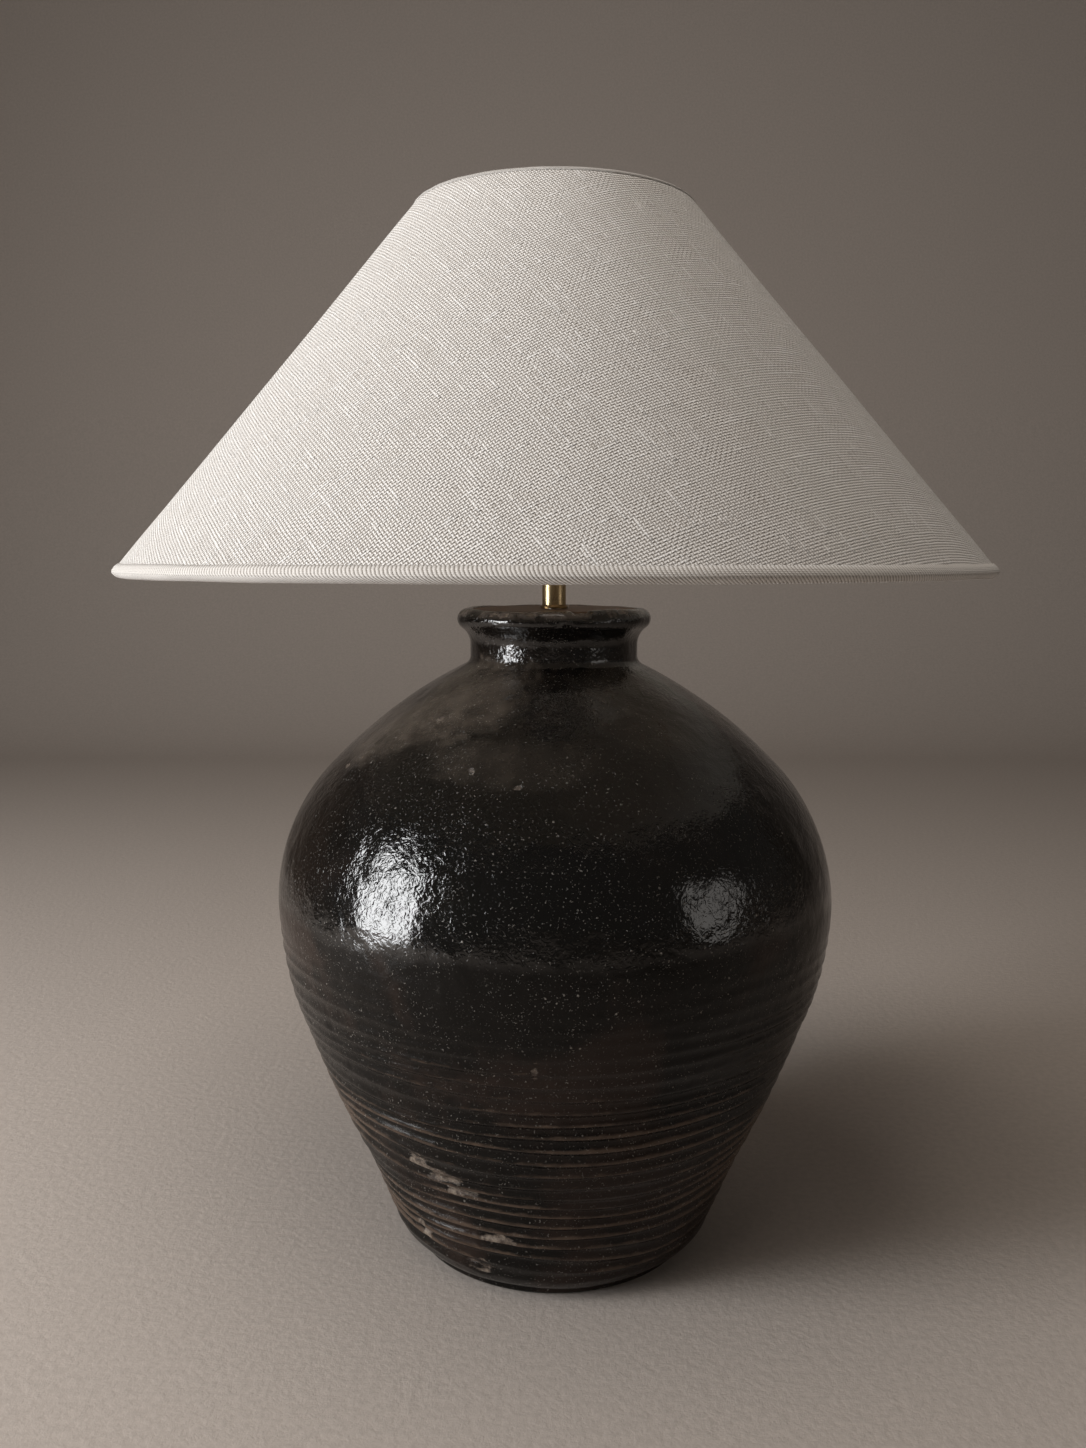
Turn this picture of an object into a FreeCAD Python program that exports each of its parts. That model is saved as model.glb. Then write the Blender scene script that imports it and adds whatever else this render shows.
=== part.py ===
"""A glazed ginger jar table lamp with a linen coolie shade, in millimetres.

The origin is on the table under the middle of the jar, +Z points up, -Y faces the viewer, and the
harp stands in the X-Z plane. Driving sizes are in the sheet "Sizes"; levels and other sizes that
follow from them are formulas in the sheet "Places". Every sub-part is bound to those two sheets.
"""
import FreeCAD, Part
import math
import os
import re

import Sketcher
from FreeCAD import Placement, Rotation, Vector

SIZES = {
    # the thrown jar: levels are from the underside of the foot, drops from the crest of the lip
    "foot_radius": 98.0,
    "foot_height": 4.5,
    "foot_recess_radius": 84.0,
    "foot_recess_depth": 5.0,
    "foot_round_radius": 24.0,
    "flare_radius": 113.5,
    "flare_level": 20.5,
    "flank_radius": 135.5,
    "flank_level": 73.5,
    "flank_curve": 510.0,
    "hip_radius": 172.0,
    "hip_level": 163.5,
    "belly_radius": 187.2,
    "belly_drop": 193.0,
    "shoulder_radius": 153.3,
    "shoulder_drop": 107.0,
    "shoulder_dip": 43.0,
    "root_radius": 60.0,
    "root_drop": 37.7,
    "neck_radius": 56.0,
    "neck_drop": 31.3,
    "neck_rise": 7.8,
    "lip_radius": 62.0,
    "lip_drop": 12.0,
    "crest_radius": 58.0,
    "jar_height": 435.5,
    "jar_wall": 9.0,
    "floor_thickness": 9.0,
    "floor_corner": 10.0,
    "neck_bore_radius": 46.5,
    "land_radius": 62.0,
    "land_drop": 49.0,
    "inner_shoulder_curve": 330.0,
    "cap_recess": 12.0,
    # the hole for the lead, low at the back, square to the flank
    "lead_hole_level": 34.0,
    "lead_hole_radius": 5.8,
    "grommet_bore_radius": 3.5,
    "grommet_flange_radius": 8.5,
    "grommet_flange": 2.0,
    "grommet_round": 2.5,
    "grommet_tail": 3.0,
    "felt_radius": 95.0,
    "felt_thickness": 1.5,
    # the wooden cap in the mouth and the threaded pipe that clamps it
    "cap_radius": 55.5,
    "cap_thickness": 12.0,
    "cap_round": 1.6,
    "bung_radius": 45.5,
    "bung_depth": 18.0,
    "bung_chamfer": 2.0,
    "pipe_radius": 5.0,
    "pipe_bore_radius": 3.5,
    "pipe_tail": 3.0,
    "pipe_in_socket": 8.0,
    "bar_length": 118.0,
    "bar_width": 22.0,
    "bar_thickness": 3.0,
    "pad_length": 12.0,
    "pad_width": 15.4,
    "pad_thickness": 2.0,
    "washer_radius": 10.5,
    "washer_thickness": 2.0,
    "nut_across": 17.0,
    "clamp_nut_height": 6.0,
    "lock_nut_height": 3.5,
    # the brass neck over the pipe
    "collar_radius": 9.2,
    "collar_height": 2.4,
    "tube_radius": 8.0,
    "tube_wall": 1.0,
    "tube_length": 44.6,
    # the bulb socket
    "socket_radius": 17.5,
    "socket_wall": 0.8,
    "cap_boss_radius": 8.0,
    "cap_boss_height": 5.0,
    "cap_dome_height": 9.0,
    "cap_dome_curve": 10.8,
    "cap_rim_height": 4.0,
    "shell_wall": 0.6,
    "shell_overlap": 3.0,
    "shell_length": 42.0,
    "liner_wall": 0.7,
    "liner_proud": 1.0,
    "block_lift": 2.0,
    "block_height": 15.0,
    "screw_shell_radius": 13.3,
    "screw_shell_wall": 0.4,
    "screw_shell_height": 22.0,
    "contact_width": 6.0,
    "contact_rise": 2.0,
    "contact_strip": 0.6,
    "terminal_radius": 3.0,
    "terminal_head": 1.6,
    "terminal_offset": 9.0,
    "terminal_slot_width": 0.9,
    "terminal_slot_depth": 0.6,
    # the turn switch, its shaft along Y
    "shaft_radius": 2.0,
    "shaft_depth": 9.0,
    "knob_radius": 6.0,
    "knob_length": 14.0,
    "knob_standoff": 0.8,
    "knob_round": 1.5,
    "flute_radius": 1.1,
    "flute_offset": 0.3,
    "flute_length": 11.2,
    "flute_count": 12,
    # the bulb
    "bulb_cap_radius": 13.0,
    "bulb_cap_length": 20.0,
    "bulb_cap_wall": 0.4,
    "tip_radius": 4.5,
    "tip_flat_radius": 3.1,
    "tip_height": 1.5,
    "insulator_height": 3.4,
    "glass_neck_radius": 12.2,
    "glass_wall": 1.0,
    "glass_radius": 30.0,
    "glass_throat": 12.0,
    "glass_throat_flare": 3.0,
    "glass_flare": 43.0,
    # the harp and the saddle that holds it
    "saddle_thickness": 1.5,
    "saddle_width": 19.0,
    "ear_width": 10.0,
    "ear_height": 3.5,
    "prong_width": 4.0,
    "prong_height": 11.0,
    "harp_wire_radius": 1.6,
    "leg_spread": 33.0,
    "leg_straight": 28.5,
    "harp_flare": 67.0,
    "harp_upright": 20.0,
    "harp_half_width": 57.0,
    "ferrule_bore_radius": 3.3,
    "ferrule_wall": 0.8,
    "ferrule_length": 12.0,
    "stud_collar_radius": 6.0,
    "stud_collar_height": 5.0,
    "stud_foot": 4.6,
    "stud_radius": 3.175,
    "stud_length": 10.5,
    "stud_chamfer": 1.0,
    # the shade
    "shade_bottom_radius": 280.0,
    "shade_top_radius": 89.7,
    "shade_height": 230.0,
    "fitter_drop": 23.5,
    "cover_thickness": 0.6,
    "glue_gap": 0.15,
    "liner_thickness": 1.0,
    "ring_wire_radius": 1.5,
    "weld_gap": 0.1,
    "hem_thickness": 0.8,
    "hem_bulge": 0.4,
    "hem_height": 6.0,
    "top_hem_height": 3.0,
    "top_hem_return": 1.3,
    "hub_radius": 11.0,
    "hub_thickness": 2.0,
    "arm_bend": 14.0,
    "arm_count": 3,
    # the finial
    "finial_base_radius": 8.0,
    "finial_base_height": 3.0,
    "finial_waist_radius": 6.2,
    "finial_waist_height": 2.0,
    "finial_waist_flare": 0.6,
    "finial_ball_radius": 7.0,
    "finial_height": 20.5,
    "insert_wall": 1.9,
    "insert_height": 6.0,
    # clearances
    "fit": 0.05,
    "running": 0.1,
    "slack": 0.3,
}

PLACES = {
    "belly_level": "jar_height - belly_drop",
    "shoulder_level": "jar_height - shoulder_drop",
    "root_level": "jar_height - root_drop",
    "neck_level": "jar_height - neck_drop",
    "lip_level": "jar_height - lip_drop",
    "land_level": "jar_height - land_drop",
    "floor_level": "foot_recess_depth + floor_thickness",
    "jar_crest": "felt_thickness + jar_height",
    "cap_seat": "jar_crest - cap_recess",
    "cap_top": "cap_seat + cap_thickness",
    "mouth_radius": "cap_radius + slack",
    "land": "felt_thickness + land_level",
    "bar_top": "land - pad_thickness",
    "bar_base": "bar_top - bar_thickness",
    "washer_base": "bar_base - washer_thickness",
    "clamp_nut_base": "washer_base - clamp_nut_height",
    "pipe_base": "clamp_nut_base - pipe_tail",
    "collar_top": "cap_top + collar_height",
    "tube_top": "collar_top + tube_length",
    "saddle_top": "tube_top + saddle_thickness",
    "socket_base": "saddle_top + lock_nut_height",
    "pipe_top": "socket_base + pipe_in_socket",
    "dome_base": "socket_base + cap_boss_height",
    "dome_top": "dome_base + cap_dome_height",
    "rim_top": "dome_top + cap_rim_height",
    "shell_base": "rim_top - shell_overlap",
    "shell_top": "shell_base + shell_length",
    "shell_radius": "socket_radius - socket_wall - slack",
    "liner_radius": "shell_radius - shell_wall - slack / 2",
    "block_radius": "liner_radius - liner_wall - slack",
    "block_base": "shell_base + block_lift",
    "block_top": "block_base + block_height",
    "switch_level": "block_base + block_height / 2",
    "contact_top": "block_top + contact_rise",
    "tip_base": "contact_top + slack",
    "insulator_base": "tip_base + tip_height",
    "bulb_cap_base": "insulator_base + insulator_height",
    "bulb_cap_top": "bulb_cap_base + bulb_cap_length",
    "glass_centre": "bulb_cap_top + glass_throat + glass_flare",
    "knob_back": "shell_radius + knob_standoff",
    "ear_top": "saddle_top + ear_height",
    "ear_face": "leg_spread - harp_wire_radius - 2 * running",
    "harp_base": "ear_top + slack",
    "harp_bend": "harp_base + leg_straight",
    "harp_side": "harp_bend + harp_flare",
    "harp_spring": "harp_side + harp_upright",
    "harp_top": "harp_spring + harp_half_width",
    "ferrule_centre": "(ear_face - saddle_thickness + leg_spread + harp_wire_radius) / 2",
    "collar_base": "harp_top - stud_foot",
    "hub_base": "harp_top + stud_collar_height",
    "hub_top": "hub_base + hub_thickness",
    "shade_top": "hub_top + fitter_drop",
    "shade_base": "shade_top - shade_height",
    "shade_run": "shade_bottom_radius - shade_top_radius",
    "slant": "sqrt(shade_run ^ 2 + shade_height ^ 2)",
    "lean": "shade_run / slant",
    "rise": "shade_height / slant",
    "skin": "cover_thickness + glue_gap + liner_thickness",
    "ring_depth": "skin + glue_gap + ring_wire_radius",
    "top_ring_radius": "shade_top_radius + ring_wire_radius * lean - ring_depth * rise",
    "top_ring_level": "shade_top - ring_wire_radius * rise - ring_depth * lean",
    "base_ring_radius": "shade_bottom_radius - ring_wire_radius * lean - ring_depth * rise",
    "base_ring_level": "shade_base + ring_wire_radius * rise - ring_depth * lean",
    "stud_top": "hub_base + stud_length",
    "insert_radius": "stud_radius + running + insert_wall",
    "flank_tilt": "atan((flank_radius - flare_radius) / (flank_level - flare_level))",
    "flank_wall": "jar_wall / cos(flank_tilt)",
    "hip_wall": "jar_wall / cos(flank_tilt / 2)",
    "lead_radius": "flare_radius + (lead_hole_level - flare_level)"
                   " * (flank_radius - flare_radius) / (flank_level - flare_level)",
    "lead_level": "felt_thickness + lead_hole_level",
}

doc = FreeCAD.newDocument("ginger_jar_lamp")
subparts = []


def qualified(expression):
    """Return the expression with each size written with the name of its sheet."""
    def with_sheet(match):
        word = match.group(0)
        if word in SIZES:
            return "Sizes." + word
        return "Places." + word if word in PLACES else word
    return re.sub(r"[a-z][a-z_]*[a-z]", with_sheet, str(expression))


def fill_sheet(name, rows):
    """Make a sheet with one named value or formula in each row."""
    sheet = doc.addObject("Spreadsheet::Sheet", name)
    for number, (alias, content) in enumerate(rows.items(), start=1):
        formula = "=" + qualified(content) if isinstance(content, str) else str(content)
        sheet.set("A%d" % number, alias)
        sheet.set("B%d" % number, formula)
        sheet.setAlias("B%d" % number, alias)
    doc.recompute()
    return sheet


fill_sheet("Sizes", SIZES)
places = fill_sheet("Places", PLACES)


def number(expression):
    """Work out an expression from the two sheets."""
    result = places.evalExpression(qualified(expression))
    return float(getattr(result, "Value", result))


def bind(thing, target, expression):
    """Tie a property, or one member of it, to an expression of the sheets."""
    thing.setExpression(target, qualified(expression))


# ---------------------------------------------------------------- sketches and bodies

def new_body(label, lift=None):
    """Start a sub-part as a body, raised by an expression where one is given."""
    body = doc.addObject("PartDesign::Body", label.title().replace("_", ""))
    body.Label = label
    if lift:
        bind(body, "Placement.Base.z", lift)
    subparts.append(body)
    return body


def new_sketch(body, role="XZ_Plane", level=None):
    """Put a sketch on one of the body's own planes, at a level above it where one is given."""
    sketch = body.newObject("Sketcher::SketchObject", "Sketch")
    plane = [each for each in body.Origin.OriginFeatures if each.Role == role][0]
    sketch.AttachmentSupport = [(plane, "")]
    sketch.MapMode = "FlatFace"
    if level:
        bind(sketch, "AttachmentOffset.Base.z", level)
    doc.recompute()
    return sketch


def pin_point(sketch, edge, end, across, up):
    """Fix one point of a sketch at two expressions measured from the origin."""
    for kind, text, axis in (("DistanceX", across, -2), ("DistanceY", up, -1)):
        value = number(text)
        if str(text) == "0":
            sketch.addConstraint(Sketcher.Constraint("PointOnObject", edge, end, axis))
        else:
            index = sketch.addConstraint(Sketcher.Constraint(kind, -1, 1, edge, end, value))
            sketch.setExpression("Constraints[%d]" % index, qualified(text))


def arc_centre(start, finish, heading, move):
    """Return the centre of a move's arc and its sense, +1 for anticlockwise."""
    chord = finish - start
    if "radius" in move:
        radius = number(move["radius"])
        half = chord.Length / 2
        rise = math.sqrt(max(radius ** 2 - half ** 2, 0.0))
        side = Vector(-chord.y, chord.x, 0).normalize()
        return start + chord * 0.5 + side * rise * move["sense"], move["sense"]
    if "level" in move:
        level = number(move["level"])
        middle = start + chord * 0.5
        shift = (middle.y - level) * chord.y / chord.x
        centre = Vector(middle.x + shift, level, 0)
        turn = (start - centre).cross(finish - centre).z
        return centre, math.copysign(1, turn)
    side = Vector(-heading.y, heading.x, 0)
    offset = chord.dot(chord) / (2 * chord.dot(side))
    return start + side * offset, math.copysign(1, offset)


def arc_piece(start, finish, centre, sense):
    """Return the arc and which of its ends are the move's start and finish."""
    angles = [math.atan2((point - centre).y, (point - centre).x) for point in (start, finish)]
    circle = Part.Circle(centre, Vector(0, 0, 1), (start - centre).Length)
    if sense > 0:
        return Part.ArcOfCircle(circle, angles[0], angles[1]), (1, 2)
    return Part.ArcOfCircle(circle, angles[1], angles[0]), (2, 1)


def outline(sketch, start, *moves, closed=True):
    """Draw a chain of lines and arcs whose corners are expressions.

    A move is (across, up) for a line, or has a third member for an arc: {} for one tangent to the
    move before it, {"radius": text, "sense": +1 or -1}, or {"level": text} for its centre's level.
    """
    moves = list(moves) + ([start] if closed else [])
    corner = start[:2]
    here = Vector(number(start[0]), number(start[1]), 0)
    heading = None
    last = None
    for order, move in enumerate(moves):
        there = Vector(number(move[0]), number(move[1]), 0)
        if len(move) == 2:
            edge = sketch.addGeometry(Part.LineSegment(here, there))
            ends = (1, 2)
            new_heading = (there - here).normalize()
        else:
            centre, sense = arc_centre(here, there, heading, move[2])
            piece, ends = arc_piece(here, there, centre, sense)
            edge = sketch.addGeometry(piece)
            spoke = (there - centre).normalize()
            new_heading = Vector(-spoke.y * sense, spoke.x * sense, 0)
        if last is not None:
            tangent = len(move) == 3 and not move[2]
            joint = "Tangent" if tangent else "Coincident"
            sketch.addConstraint(Sketcher.Constraint(joint, last[0], last[1], edge, ends[0]))
        else:
            first = (edge, ends[0])
        pin_point(sketch, edge, ends[0], *corner)
        if len(move) == 3 and "radius" in move[2]:
            value = number(move[2]["radius"])
            index = sketch.addConstraint(Sketcher.Constraint("Radius", edge, value))
            sketch.setExpression("Constraints[%d]" % index, qualified(move[2]["radius"]))
        if len(move) == 3 and "level" in move[2]:
            value = number(move[2]["level"])
            index = sketch.addConstraint(Sketcher.Constraint("DistanceY", -1, 1, edge, 3, value))
            sketch.setExpression("Constraints[%d]" % index, qualified(move[2]["level"]))
        if closed and order == len(moves) - 1:
            sketch.addConstraint(Sketcher.Constraint("Coincident", edge, ends[1], *first))
        elif order == len(moves) - 1:
            pin_point(sketch, edge, ends[1], *move[:2])
        last = (edge, ends[1])
        here, heading, corner = there, new_heading, move[:2]


def circle(sketch, across, up, radius):
    """Draw a circle whose place and radius are expressions."""
    middle = Vector(number(across), number(up), 0)
    edge = sketch.addGeometry(Part.Circle(middle, Vector(0, 0, 1), number(radius)))
    if str(across) == "0" and str(up) == "0":
        sketch.addConstraint(Sketcher.Constraint("Coincident", edge, 3, -1, 1))
    else:
        pin_point(sketch, edge, 3, across, up)
    index = sketch.addConstraint(Sketcher.Constraint("Radius", edge, number(radius)))
    sketch.setExpression("Constraints[%d]" % index, qualified(radius))


def revolve(body, sketch):
    """Turn a sketch about the body's Z axis."""
    turned = body.newObject("PartDesign::Revolution", "Turned")
    turned.Profile = sketch
    turned.ReferenceAxis = (sketch, ["V_Axis"])
    turned.Angle = 360
    doc.recompute()
    return turned


def turned_part(label, start, *moves, lift=None):
    """Make a sub-part by turning one closed outline."""
    body = new_body(label, lift)
    sketch = new_sketch(body)
    outline(sketch, start, *moves)
    revolve(body, sketch)
    return body


def tube_part(label, inner, outer, base, top):
    """Make a plain round tube or washer."""
    return turned_part(label, (inner, base), (outer, base), (outer, top), (inner, top))


def pad(body, sketch, length, centred=False):
    """Thicken a sketch by an expression."""
    solid = body.newObject("PartDesign::Pad", "Pad")
    solid.Profile = sketch
    bind(solid, "Length", length)
    solid.SideType = "Symmetric" if centred else "One side"
    doc.recompute()
    return solid


def pocket(body, sketch, length, reverse=False, centred=False):
    """Cut a sketch into the body by an expression, and make sure that it takes material away."""
    before = body.Shape.Volume
    cut = body.newObject("PartDesign::Pocket", "Pocket")
    cut.Profile = sketch
    bind(cut, "Length", length)
    cut.Reversed = reverse
    cut.SideType = "Symmetric" if centred else "One side"
    doc.recompute()
    if body.Shape.Volume >= before:
        raise RuntimeError("a cut missed the body " + body.Label)
    return cut


def drill(body, across, up, radius, length, role="XZ_Plane", **options):
    """Cut a round hole at expressions on one of the body's planes."""
    sketch = new_sketch(body, role)
    circle(sketch, across, up, radius)
    return pocket(body, sketch, length, **options)


def ring_of(body, feature, count):
    """Repeat a feature about the body's Z axis."""
    pattern = body.newObject("PartDesign::PolarPattern", "Ring")
    pattern.Originals = [feature]
    axis = [each for each in body.Origin.OriginFeatures if each.Role == "Z_Axis"][0]
    pattern.Axis = (axis, [""])
    pattern.Angle = 360
    bind(pattern, "Occurrences", count)
    body.Tip = pattern
    doc.recompute()
    return pattern


# ---------------------------------------------------------------- the jar

def make_jar():
    """Thrown stoneware jar: foot ring, flank, belly, domed shoulder, neck and rolled lip."""
    body = new_body("jar", "felt_thickness")
    sketch = new_sketch(body)
    seat = "jar_height - cap_recess"
    outline(
        sketch, ("0", "foot_recess_depth"),
        ("foot_recess_radius", "foot_recess_depth"),
        ("foot_recess_radius", "0"),
        ("foot_radius", "0"),
        ("foot_radius", "foot_height"),
        ("flare_radius", "flare_level", {"radius": "foot_round_radius", "sense": 1}),
        ("flank_radius", "flank_level"),
        ("hip_radius", "hip_level", {"radius": "flank_curve", "sense": 1}),
        ("belly_radius", "belly_level", {"level": "belly_level"}),
        ("shoulder_radius", "shoulder_level", {}),
        ("root_radius", "root_level", {}),
        ("neck_radius", "neck_level", {}),
        ("neck_radius", "neck_level + neck_rise"),
        ("lip_radius", "lip_level", {}),
        ("crest_radius", "jar_height", {}),
        ("mouth_radius", "jar_height"),
        ("mouth_radius", seat),
        ("neck_bore_radius", seat),
        ("neck_bore_radius", "land_level"),
        ("land_radius", "land_level"),
        ("shoulder_radius - jar_wall * cos(shoulder_dip)",
         "shoulder_level - jar_wall * sin(shoulder_dip)",
         {"radius": "inner_shoulder_curve", "sense": -1}),
        ("belly_radius - jar_wall", "belly_level", {"level": "belly_level"}),
        ("hip_radius - hip_wall", "hip_level", {}),
        ("flank_radius - flank_wall", "flank_level", {"radius": "flank_curve", "sense": -1}),
        ("flare_radius - flank_wall + floor_corner * tan(flank_tilt)",
         "floor_level + floor_corner"),
        ("flare_radius - flank_wall - floor_corner", "floor_level", {}),
        ("0", "floor_level"))
    revolve(body, sketch)
    hole = tilted_sketch(body)
    circle(hole, "0", "0", "lead_hole_radius")
    pocket(body, hole, "4 * jar_wall", reverse=True)


def tilted_sketch(body):
    """Put a sketch just outside the flank at the back, square to the wall."""
    sketch = new_sketch(body)
    sketch.AttachmentOffset = Placement(Vector(0, 1, -1), Rotation(Vector(1, 0, 0), -1))
    bind(sketch, "AttachmentOffset.Base.y", "lead_hole_level - jar_wall * sin(flank_tilt)")
    bind(sketch, "AttachmentOffset.Base.z", "-lead_radius - jar_wall * cos(flank_tilt)")
    bind(sketch, "AttachmentOffset.Rotation.Angle", "-flank_tilt")
    doc.recompute()
    return sketch


def make_grommet():
    """Rubber grommet in the hole for the lead: a flange against the glaze and a sleeve inward."""
    sleeve = "lead_hole_radius - slack"
    body = turned_part(
        "cord_grommet", ("grommet_bore_radius", "-jar_wall - grommet_tail"),
        (sleeve, "-jar_wall - grommet_tail"),
        (sleeve, "slack / 2"),
        ("grommet_flange_radius", "slack / 2"),
        ("grommet_flange_radius - grommet_flange / 2", "slack / 2 + grommet_flange",
         {"radius": "grommet_round", "sense": 1}),
        ("grommet_bore_radius", "slack / 2 + grommet_flange"))
    body.Placement = Placement(Vector(0, 1, 1), Rotation(Vector(1, 0, 0), -90))
    bind(body, "Placement.Base.y", "lead_radius")
    bind(body, "Placement.Base.z", "lead_level")
    bind(body, "Placement.Rotation.Angle", "-90 deg - flank_tilt")


def make_felt():
    """Felt pad under the foot."""
    turned_part("base_felt", ("0", "0"), ("felt_radius", "0"),
                ("felt_radius", "felt_thickness"), ("0", "felt_thickness"))


def make_wood_cap():
    """Wooden disc let into the mouth, with a bung in the neck and a hole for the pipe."""
    bore = "pipe_radius + slack"
    turned_part(
        "wood_cap", (bore, "cap_seat - bung_depth"),
        ("bung_radius - bung_chamfer", "cap_seat - bung_depth"),
        ("bung_radius", "cap_seat - bung_depth + bung_chamfer"),
        ("bung_radius", "cap_seat"),
        ("cap_radius", "cap_seat"),
        ("cap_radius", "cap_top - cap_round"),
        ("cap_radius - cap_round", "cap_top", {"radius": "cap_round", "sense": 1}),
        (bore, "cap_top"))


# ---------------------------------------------------------------- the clamp inside the neck

def hex_nut(label, base, height):
    """Hexagon nut on the threaded pipe."""
    prism = doc.addObject("Part::Prism", label + "_hexagon")
    prism.Polygon = 6
    bind(prism, "Circumradius", "nut_across / sqrt(3)")
    bind(prism, "Height", height)
    hole = doc.addObject("Part::Cylinder", label + "_bore")
    bind(hole, "Radius", "pipe_radius + fit")
    bind(hole, "Height", height)
    for piece in (prism, hole):
        bind(piece, "Placement.Base.z", base)
    nut = doc.addObject("Part::Cut", label + "_nut")
    nut.Base = prism
    nut.Tool = hole
    nut.Label = label
    subparts.append(nut)


def make_clamp():
    """Steel bar with rubber pads, washer and nut, drawn up under the neck by the pipe."""
    tube_part("lamp_pipe", "pipe_bore_radius", "pipe_radius", "pipe_base", "pipe_top")
    bar = new_body("clamp_bar")
    sketch = new_sketch(bar, "XY_Plane", "bar_base")
    half, side = "bar_length / 2 - bar_width / 2", "bar_width / 2"
    outline(sketch, ("-(%s)" % half, "-" + side), (half, "-" + side),
            (half, side, {}), ("-(%s)" % half, side), ("-(%s)" % half, "-" + side, {}),
            closed=False)
    pad(bar, sketch, "bar_thickness")
    hole = new_sketch(bar, "XY_Plane", "bar_top")
    circle(hole, "0", "0", "pipe_radius + fit")
    pocket(bar, hole, "bar_thickness")
    make_pads()
    tube_part("clamp_washer", "pipe_radius + fit", "washer_radius", "washer_base", "bar_base")
    hex_nut("clamp_nut", "clamp_nut_base", "clamp_nut_height")
    hex_nut("saddle_nut", "saddle_top", "lock_nut_height")


def make_pads():
    """Two rubber pads between the bar's ends and the flat land under the neck."""
    pads = []
    for side in ("-1", "1"):
        block = doc.addObject("Part::Box", "pad_block")
        bind(block, "Length", "pad_length")
        bind(block, "Width", "pad_width")
        bind(block, "Height", "pad_thickness")
        middle = "(neck_bore_radius + land_radius) / 2"
        bind(block, "Placement.Base.x", "%s * %s - pad_length / 2" % (side, middle))
        bind(block, "Placement.Base.y", "-pad_width / 2")
        bind(block, "Placement.Base.z", "bar_top")
        pads.append(block)
    group = doc.addObject("Part::Compound", "Pads")
    group.Links = pads
    group.Label = "bar_pads"
    subparts.append(group)


def make_neck():
    """Brass collar and neck tube between the wooden cap and the saddle."""
    bore = "pipe_radius + slack"
    turned_part("tube_collar", (bore, "cap_top"), ("collar_radius", "cap_top"),
                ("collar_radius", "cap_top + collar_height / 2"),
                ("tube_radius", "collar_top", {"radius": "collar_height", "sense": 1}),
                (bore, "collar_top"))
    tube_part("neck_tube", "tube_radius - tube_wall", "tube_radius", "collar_top", "tube_top")


# ---------------------------------------------------------------- the socket and its switch

def make_socket():
    """Brass cap and shell, fibre liner, moulded block, terminals, contact and screw shell."""
    dome = {"radius": "cap_dome_curve", "sense": 1}
    inside = {"radius": "cap_dome_curve", "sense": -1}
    turned_part(
        "socket_cap", ("pipe_radius + fit", "socket_base"), ("cap_boss_radius", "socket_base"),
        ("cap_boss_radius", "dome_base"), ("socket_radius", "dome_top", dome),
        ("socket_radius", "rim_top"), ("socket_radius - socket_wall", "rim_top"),
        ("socket_radius - socket_wall", "dome_top"),
        ("cap_boss_radius - socket_wall", "dome_base + socket_wall", inside),
        ("pipe_radius + fit", "dome_base + socket_wall"))
    shell = tube_part("socket_shell", "shell_radius - shell_wall", "shell_radius",
                      "shell_base", "shell_top")
    drill(shell, "0", "switch_level", "shaft_radius + 2 * slack", "2 * socket_radius", reverse=True)
    liner = tube_part("socket_liner", "liner_radius - liner_wall", "liner_radius",
                      "shell_base + slack", "shell_top + liner_proud")
    drill(liner, "0", "switch_level", "shaft_radius + 2 * slack", "2 * socket_radius", reverse=True)
    block = turned_part("socket_block", ("0", "block_base"), ("block_radius", "block_base"),
                        ("block_radius", "block_top"), ("0", "block_top"))
    drill(block, "0", "switch_level", "shaft_radius + fit", "2 * block_radius", reverse=True)
    for side in ("", "-"):
        seat = new_sketch(block, "XY_Plane", "block_base")
        circle(seat, side + "terminal_offset", "0", "terminal_radius + running")
        pocket(block, seat, "terminal_head", reverse=True)
    make_terminals()
    make_contact()
    tube_part("screw_shell", "screw_shell_radius", "screw_shell_radius + screw_shell_wall",
              "block_top", "block_top + screw_shell_height")


def make_terminals():
    """Two terminal screws let into the underside of the block."""
    screws = []
    for side in ("", "-"):
        head = doc.addObject("Part::Cylinder", "terminal_head")
        bind(head, "Radius", "terminal_radius")
        bind(head, "Height", "terminal_head")
        bind(head, "Placement.Base.x", side + "terminal_offset")
        bind(head, "Placement.Base.z", "block_base")
        slot = doc.addObject("Part::Box", "terminal_slot")
        bind(slot, "Length", "4 * terminal_radius")
        bind(slot, "Width", "terminal_slot_width")
        bind(slot, "Height", "terminal_slot_depth")
        bind(slot, "Placement.Base.x", side + "terminal_offset - 2 * terminal_radius")
        bind(slot, "Placement.Base.y", "-terminal_slot_width / 2")
        bind(slot, "Placement.Base.z", "block_base")
        screw = doc.addObject("Part::Cut", "terminal_screw")
        screw.Base = head
        screw.Tool = slot
        screws.append(screw)
    group = doc.addObject("Part::Compound", "Terminals")
    group.Links = screws
    group.Label = "terminal_screws"
    subparts.append(group)


def make_contact():
    """Sprung brass tongue on the block that meets the tip of the bulb."""
    body = new_body("centre_contact")
    sketch = new_sketch(body)
    low, high = "block_top + contact_strip", "contact_top - contact_strip"
    left, right = "block_radius / 2", "contact_width / 2"
    outline(sketch, ("-(%s)" % left, "block_top"), ("-(%s)" % right, "block_top"),
            ("0", high), (right, high), (right, "contact_top"),
            ("-contact_strip", "contact_top"), ("-(%s) - contact_strip" % right, low),
            ("-(%s)" % left, low))
    pad(body, sketch, "contact_width", centred=True)


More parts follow.
